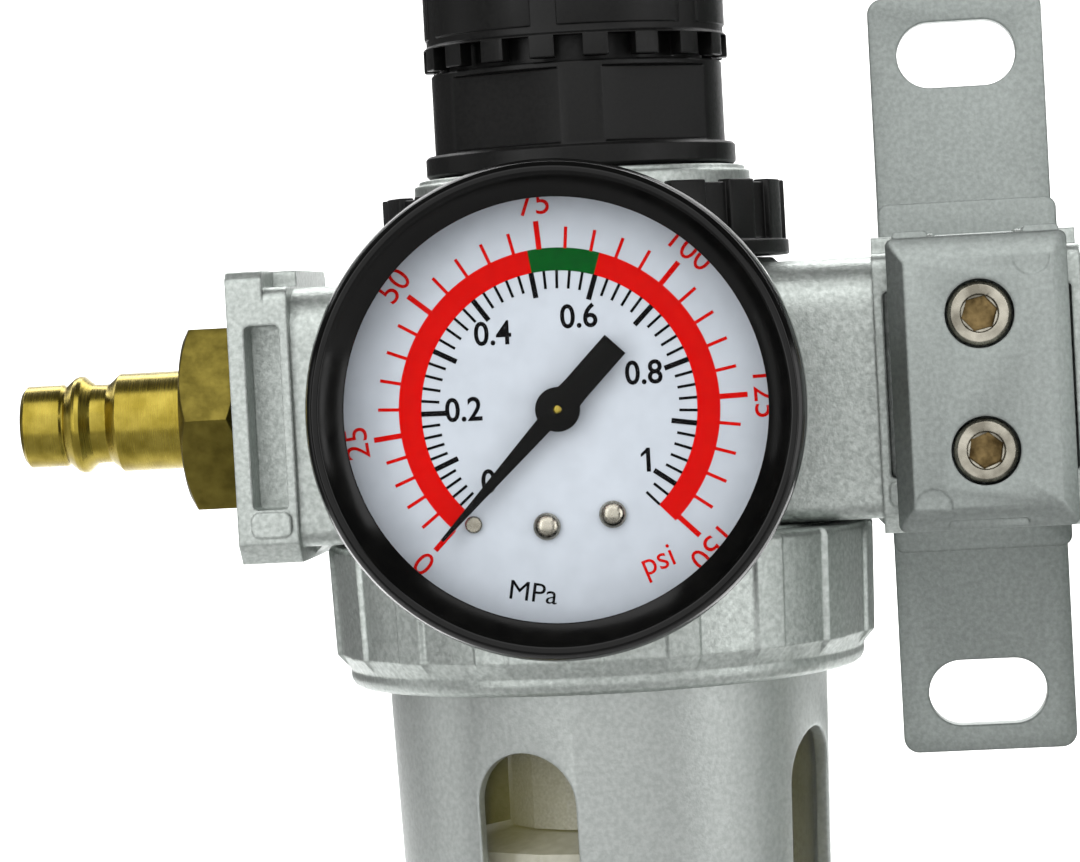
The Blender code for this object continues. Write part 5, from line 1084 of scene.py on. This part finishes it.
# %% [markdown]
# ## Inlet plug
# A brass quick-connect plug: tip, bulging collar, neck and shank are turned, and a thread sits in the inlet. The
# hexagon is a prism whose corners are chamfered by keeping only what it shares with a turned shape.

# %% Inlet plug
PLUG_BORE, THREAD_CREST, THREAD_ROOT, NECK, SHANK, ACROSS = 3.6, 9.0, 8.45, 4.85, 6.05, 22.0
face = BODY_HALF + GAP
shank = face + 7.3
shoulder = shank + 9.4
collar = shoulder + 2.9
tip = collar + 3.2
end = tip + 5.4
profile = [(PLUG_BORE, end), (4.5, end), (5.05, end - 0.5), (5.05, tip + 0.5), (4.75, tip + 0.1),
           (5.3, tip - 0.5), (5.85, collar + 2.0), (6.0, collar + 1.5), (5.9, collar + 1.0),
           (5.3, collar + 0.35), (4.9, collar - 0.2), (NECK, shoulder + 1.6), (NECK, shoulder + 0.8),
           (5.5, shoulder), (SHANK, shoulder - 0.6), (SHANK, face + 1), (THREAD_CREST, face + 1)]
for i in range(5):
    x = face - 1.0 - i * PITCH
    profile += [(THREAD_CREST, x), (THREAD_ROOT, x - 0.7), (THREAD_ROOT, x - 1.0), (THREAD_CREST, x - 1.6)]
profile += [(THREAD_CREST, face - 10.6), (8.0, face - 12), (PLUG_BORE, face - 12)]
plug = turned("plug_of_inlet", profile, BRASS, REGULATOR, LEFT, 0.12, 96)
print("plug", len(plug.data.polygons), "faces")

# %% Hexagon
hexagon = prism("plug_hexagon", polygon(6, ACROSS / 2), face, shank, DULL_BRASS, REGULATOR, LEFT)
corner = ACROSS / 2 / math.cos(math.pi / 6) + 0.1
limit = turned("limit", [
    (4.6, shank + 0.01), (10.6, shank + 0.01), (corner, shank - 1.2), (corner, face + 1.2),
    (10.6, face - 0.01), (4.6, face - 0.01)], None, REGULATOR, LEFT, 0, 96)
hexagon = softened(worked(hexagon, [limit], "INTERSECT"), 0.35, 2, 30)
print("hexagon", ACROSS, "mm across flats")

# %% [markdown]
# ## Tee bracket and clamp
# The bracket is a casting between the flanges, with two slotted ears against the wall. The front clamp has bevelled
# edges, two counterbores, and small ejector marks; its screws have hexagon sockets. Both reach into the flanges'
# pockets with jaws, so both get theirs from one function.

# %% Bracket
REAR, BLOCK_FRONT, EAR_HALF, EAR_WIDE = 36.0, 18.0, 49.0, 11.2
SLOT_PLACE, SLOT_REACH, SLOT_RADIUS = 41.4, 3.4, 4.25
PLATE_HALF, EAR_THICK, SCREW_PLACE, SCREW_HOLE, AIR_BORE = 4.5, 3.5, 7.9, 2.8, 8.0
JAW_PLACE, JAW_DEEP = PLATE_HALF + GAP + POCKET_START + POCKET_WIDTH / 2, 4.8


def jaws(depth):
    """The pair of jaws whose middle lies `depth` behind the axis."""
    return [block("jaw", (3.0, JAW_DEEP, 20.0), offset(MIDDLE, side * JAW_PLACE, depth)) for side in (-1, 1)]


def above_and_below(height):
    """A place above and one below the middle of the bracket."""
    return [offset(MIDDLE, 0, 0, side * height) for side in (-1, 1)]


bracket = prism("tee_bracket_casting", rounded(-16.6, -17.3, 20.0, 17.3, (1, 1, 1, 1)), -PLATE_HALF, PLATE_HALF,
                BRACKET_METAL, MIDDLE, RIGHT)
rear_block = prism("rear block", plate(EAR_WIDE, 22, 1.4), -REAR + 0.5, -BLOCK_FRONT, None, MIDDLE, FRONT)
ears = prism("ears", plate(EAR_WIDE, EAR_HALF, 2.0, 8), -REAR, -REAR + EAR_THICK, None, MIDDLE, FRONT)
joined(bracket, rear_block, ears, *jaws(BLOCK_FRONT - 4.4 + JAW_DEEP / 2))
slot = arc((SLOT_REACH, 0), SLOT_RADIUS, -90, 90, 20) + arc((-SLOT_REACH, 0), SLOT_RADIUS, 90, 270, 20)
tools = [prism("slot", slot, -REAR - 1, -REAR + EAR_THICK + 1, None, spot, FRONT)
         for spot in above_and_below(SLOT_PLACE)]
tools += [prism("rear pocket", plate(8.2, 8, 1.0, 3), -REAR - 1, -21, None, spot, FRONT)
          for spot in above_and_below(11.0)]
tools += [bar("tapped", SCREW_HOLE, 10.2, 17.6, spot, FRONT, 32) for spot in above_and_below(SCREW_PLACE)]
tools.append(bar("bore", AIR_BORE, -PLATE_HALF - 1, PLATE_HALF + 1, MIDDLE, RIGHT, 64))
cut(bracket, *tools)
seal_groove = [(11.8, 1.0), (11.8, -1.2), (9.4, -1.2), (9.4, 1.0)]
cut(bracket, turned("left groove", seal_groove, None, offset(MIDDLE, -PLATE_HALF), LEFT, 0, 64),
    turned("right groove", seal_groove, None, offset(MIDDLE, PLATE_HALF), RIGHT, 0, 64))
softened(bracket, 0.45, 3, 50)
print("bracket", len(bracket.data.polygons), "faces")

# %% Clamp
BACK, CLAMP_FRONT, WIDE, HIGH, BEVEL, HEAD_ROOM = 17.6, 25.2, 10.4, 17.0, 1.9, 4.0
outer, inner = plate(WIDE, HIGH, 0.9, 5), plate(WIDE - BEVEL, HIGH - 2.6, 0.5, 5)
clamp = lofted("clamp_plate", [level(outer, BACK), level(outer, CLAMP_FRONT - BEVEL), level(inner, CLAMP_FRONT)],
               BRACKET_METAL, MIDDLE, FRONT)
tabs = []
for side in (-1, 1):
    x = side * (WIDE - 2.9)
    outline = rounded(x - 2.1, HIGH - 1, x + 2.1, HIGH + 0.8, (0.2, 0.6, 0.6, 0.2), 4)
    tabs.append(prism("tab", outline, BACK + 0.5, CLAMP_FRONT - 2.4, None, MIDDLE, FRONT))
joined(clamp, *jaws(-(BACK - 2.0)), *tabs)
counterbore = [(0, 26.2), (HEAD_ROOM, 26.2), (HEAD_ROOM, 20.2), (SCREW_HOLE, 20.2), (SCREW_HOLE, 16.0), (0, 16.0)]
tools = [turned("counterbore", counterbore, None, spot, FRONT, 0, 96) for spot in above_and_below(SCREW_PLACE)]
tools.append(prism("lower notch", plate(4.6, 1.2, 0.5, 4), 23.4, 26.5, None, offset(MIDDLE, 0, 0, -HIGH), FRONT))
for x, z in ((6.2, 14.2), (-6.3, -14.2)):
    tools.append(turned("ejector mark", [(0, 26), (2.15, 26), (2.15, 25.08), (0, 25.08)], None,
                        offset(MIDDLE, x, 0, z), FRONT, 0, 40))
softened(cut(clamp, *tools), 0.28, 3, 40)
print("clamp", len(clamp.data.polygons), "faces")


# %% Clamp screws
def clamp_screw(name, spot, turn):
    """A socket head screw: the floor of its socket is a darker, tarnished piece."""
    head, high, head_radius, thread_radius, socket_flat = 20.5, 25.1, 3.7, 2.5, 1.85
    profile = [(0, high), (3.3, high), (head_radius, high - 0.4), (head_radius, head), (thread_radius, head),
               (thread_radius, head - 9), (0, head - 9)]
    screw = turned(name, profile, STEEL, spot, FRONT, 0.15, 64)
    socket = prism("socket", polygon(6, socket_flat, turn), high - 2.6, high + 1, None, spot, FRONT)
    sink = turned("sink", [(0, high + 0.5), (2.55, high + 0.5), (2.1, high - 0.3), (0, high - 0.3)],
                  None, spot, FRONT, 0, 48)
    softened(cut(screw, socket, sink), 0.08, 2, 40)
    floor = prism(name + "_socket_floor", polygon(6, socket_flat - 0.02, turn), high - 2.58, high - 2.4,
                  SOCKET, spot, FRONT)
    return screw, floor


lower_spot, upper_spot = above_and_below(SCREW_PLACE)
screws = [clamp_screw("clamp_screw_head_upper", upper_spot, 12),
          clamp_screw("clamp_screw_head_lower", lower_spot, 21)]
print("clamp screws", 2 * SCREW_PLACE, "mm apart")

# %% [markdown]
# ## Lubricator top
# The picture shows only this unit's flange, so its top follows what such units have: a clear sight dome with a drip
# tube in it, a feed knob that lifts the needle, and a filler plug beside the dome.

# %% Sight dome
NEEDLE_HOLE, DOME_RADIUS, DOME_FLANGE, DOME_BORE, DOME_FOOT, FLANGE_LOW = 1.4, 12.2, 13.3, 9.5, 11.7, 22.5
dome_profile = [(NEEDLE_HOLE, 41.0), (6.0, 41.0), (6.0, 39.0), (9.2, 38.5), (11.2, 37.4), (DOME_RADIUS, 35.0),
                (DOME_RADIUS, FLANGE_LOW + 3.5), (DOME_FLANGE, FLANGE_LOW + 3), (DOME_FLANGE, FLANGE_LOW),
                (DOME_FOOT, FLANGE_LOW), (DOME_FOOT, 13.3), (DOME_BORE, 13.3), (DOME_BORE, 34.0),
                (8.6, 35.8), (6.5, 36.4), (NEEDLE_HOLE, 36.4)]
dome = turned("sight_dome_shell", dome_profile, CLEAR, LUBRICATOR, UP, 0.3, 96)
print("sight dome", 2 * DOME_RADIUS, "mm across")

# %% Feed knob and filler plug
low, high = 41.3, 47.3
wings = winged(12, ((0, 7.0), (0.08, 7.0), (0.4, 6.5), (0.5, 6.4), (0.6, 6.5), (0.92, 7.0)))
feed_loops = [even(wings, NEEDLE_HOLE, 44.3), even(wings, NEEDLE_HOLE, low), even(wings, 6.2, low),
              grown(wings, -0.2, low + 0.5), wheel(wings, low + 0.9), wheel(wings, high - 1.0),
              grown(wings, -0.4, high - 0.4), even(wings, 5.6, high), even(wings, 4.4, high - 0.3)]
feed_knob = lofted("feed_knob_cap", feed_loops, NYLON, LUBRICATOR)
fill_spot = offset(LUBRICATOR, *FILL)
filler = turned("filler_plug", [(0, 23.0), (4.0, 23.0), (4.0, 22.4), (2.8, 22.4), (2.8, 13.4), (0, 13.4)],
                NYLON, fill_spot, UP, 0.1, 48)
joined(filler, prism("filler hexagon", polygon(6, 3.55), 22.4, 26.0, None, fill_spot))
softened(filler, 0.2, 2, 40)
print("feed knob", high - low, "mm high")

# %% [markdown]
# ## Finishes of the pieces inside
# Pieces that hardly show keep the solid model's shape and get their real finish.

# %% Materials on kept nodes
kept = {
    BRASS: ["rear_port_plug", "valve_stem", "gauge_stem", "bourdon_tube", "gauge_sector", "drip_tube",
            "siphon_strainer"],
    STEEL: ["adjusting_screw", "spring_seat", "feed_needle", "flow_flap"],
    SPRING: ["adjusting_spring", "valve_spring"],
    RUBBER: ["diaphragm", "filter_bowl_seal", "lubricator_bowl_seal", "joint_seal_left", "joint_seal_right",
             "sight_dome_seal", "fill_plug_seal"],
    ACETAL: ["valve_guide", "deflector", "filter_baffle", "siphon_tube"],
    POROUS: ["filter_element"],
    CAST: ["diaphragm_plate"],
}
for finish, names in kept.items():
    for name in names:
        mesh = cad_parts[name].data
        mesh.materials.clear()
        mesh.materials.append(finish)
print(sum(len(names) for names in kept.values()), "nodes keep their shape")

# %% [markdown]
# ## Which piece stands for which node
# Every piece rides on a body of the solid model, so it moves with the joints. The solid node that it stands for is
# hidden.

# %% Ride and replace
stand = [
    (gauge_case, "unit", ["gauge_case"]), (gauge_rim, "unit", ["gauge_bezel"]), (gauge_glass, "unit", ["gauge_lens"]),
    (dial_plate, "unit", ["gauge_dial"]), (screw_left, "unit", ["dial_screw_left"]),
    (screw_right, "unit", ["dial_screw_right"]), (stop_pin, "unit", ["gauge_stop_pin"]),
    (pointer, "pointer", ["gauge_pointer"]), (arbor, "pointer", []),
    (regulator, "unit", ["regulator_body"]), (oiler, "unit", ["lubricator_body"]), (nut, "unit", ["panel_nut"]),
    (bonnet, "unit", ["bonnet"]), (knob, "knob", ["adjusting_knob"]), (plug, "unit", ["inlet_plug"]),
    (hexagon, "unit", []), (bracket, "unit", ["tee_bracket"]), (clamp, "unit", ["front_clamp"]),
    (screws[0][0], "unit", ["clamp_screw_upper"]), (screws[1][0], "unit", ["clamp_screw_lower"]),
    (screws[0][1], "unit", []), (screws[1][1], "unit", []),
    (dome, "unit", ["sight_dome"]), (feed_knob, "feed", ["feed_knob"]), (filler, "filler", ["fill_plug"]),
]
stand += [(piece, "unit", []) for piece in bands + scales + numerals]
for prefix, pieces in sets.items():
    stand += [(pieces["ring"], prefix + "_ring", [prefix + "_bowl_ring"]),
              (pieces["guard"], prefix + "_set", [prefix + "_guard"]),
              (pieces["bowl"], prefix + "_set", [prefix + "_bowl"]),
              (pieces["stem"], prefix + "_set", [prefix + "_drain_body"]),
              (pieces["grip"], prefix + "_drain", [prefix + "_drain_knob"])]
for piece, body, nodes in stand:
    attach(piece, body)
    if nodes:
        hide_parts(*nodes)
print(len(stand), "pieces ride")

# %% [markdown]
# ## Stage and light
# The photograph has a white background and soft light mostly from the front. A pale floor runs back and up into a
# wall, low enough for the bowls to drop, and a shade darker in front, where it would brighten the undersides. Large
# soft panels stand round the object, so that the metal and the black rim have something bright to mirror. The widest
# one in front is the main light. The world gives little light, but the camera sees it white.

# %% Stage
SHADE_START, SHADE_END = -0.11, 0.02
DROP, EDGE, HALF_WIDTH, BEND_START, BEND, WALL_TOP = 114, -780, 720, 1400, 300, 1500
backdrop, stage_tree, stage_shader, stage_where = finish_of("paper_backdrop_white", 0.9)
along = add_node(stage_tree, "ShaderNodeSeparateXYZ", {"Vector": stage_where}).outputs["Y"]
shade = add_node(stage_tree, "ShaderNodeMapRange", {"Value": along, "From Min": SHADE_START,
                                                    "From Max": SHADE_END})
blend_colours(stage_tree, stage_shader, shade, "#b0b0b0", "#f8f8f8", 0, 1)
stage_low = solid_box[0][2] / MM - DROP
sweep = [(EDGE, stage_low)] + arc((BEND_START, stage_low + BEND), BEND, -90, 0, 16)
sweep.append((BEND_START + BEND, stage_low + WALL_TOP))
paper = bmesh.new()
rows = [[paper.verts.new((x, y, z)) for y, z in sweep] for x in (-HALF_WIDTH, HALF_WIDTH)]
for i in range(1, len(sweep)):
    paper.faces.new((rows[0][i - 1], rows[1][i - 1], rows[1][i], rows[0][i]))
floor = settle("floor_and_wall", paper, backdrop)
print("floor at", stage_low, "mm")


# %% Lights
def softbox(name, place, target, width, height, power):
    """A rectangular soft light that faces `target`."""
    light = bpy.data.lights.new(name, "AREA")
    light.shape, light.size, light.size_y, light.energy = "RECTANGLE", width * MM, height * MM, power
    lamp = linked(name, light)
    facing = (Vector(target) - Vector(place)).normalized().to_track_quat("-Z", "Y")
    lamp.matrix_world = Matrix.Translation(Vector(place) * MM) @ facing.to_matrix().to_4x4()


OBJECT, WALL = (0, -50, -10), (0, 1100, -100)
softbox("key", (-60, -800, 90), OBJECT, 1100, 900, 4.2)
softbox("overhead", (-60, -420, 520), OBJECT, 900, 420, 2.4)
softbox("left side", (-500, -560, 120), OBJECT, 260, 600, 1.2)
softbox("right side", (600, -440, 60), OBJECT, 300, 700, 1.7)
softbox("far right", (700, -50, -60), OBJECT, 260, 420, 0.9)
softbox("far left", (-700, -50, -60), OBJECT, 260, 420, 0.3)
softbox("backdrop", (0, 720, 700), WALL, 2400, 900, 40.0)
print(len(bpy.data.lights), "soft panels")

# %% World
WORLD_LIGHT, WORLD_SEEN = 0.1, 1.0
bpy.context.scene.view_settings.view_transform = "Standard"
world = bpy.data.worlds.new("studio")
world.use_nodes = True
world.node_tree.nodes["Background"].inputs["Color"].default_value = (1, 1, 1, 1)
seen = add_node(world.node_tree, "ShaderNodeLightPath").outputs["Is Camera Ray"]
bright = add_node(world.node_tree, "ShaderNodeMapRange", {"Value": seen, "To Min": WORLD_LIGHT,
                                                          "To Max": WORLD_SEEN})
world.node_tree.links.new(bright.outputs[0], world.node_tree.nodes["Background"].inputs["Strength"])
bpy.context.scene.world = world
print("world lights with", WORLD_LIGHT)
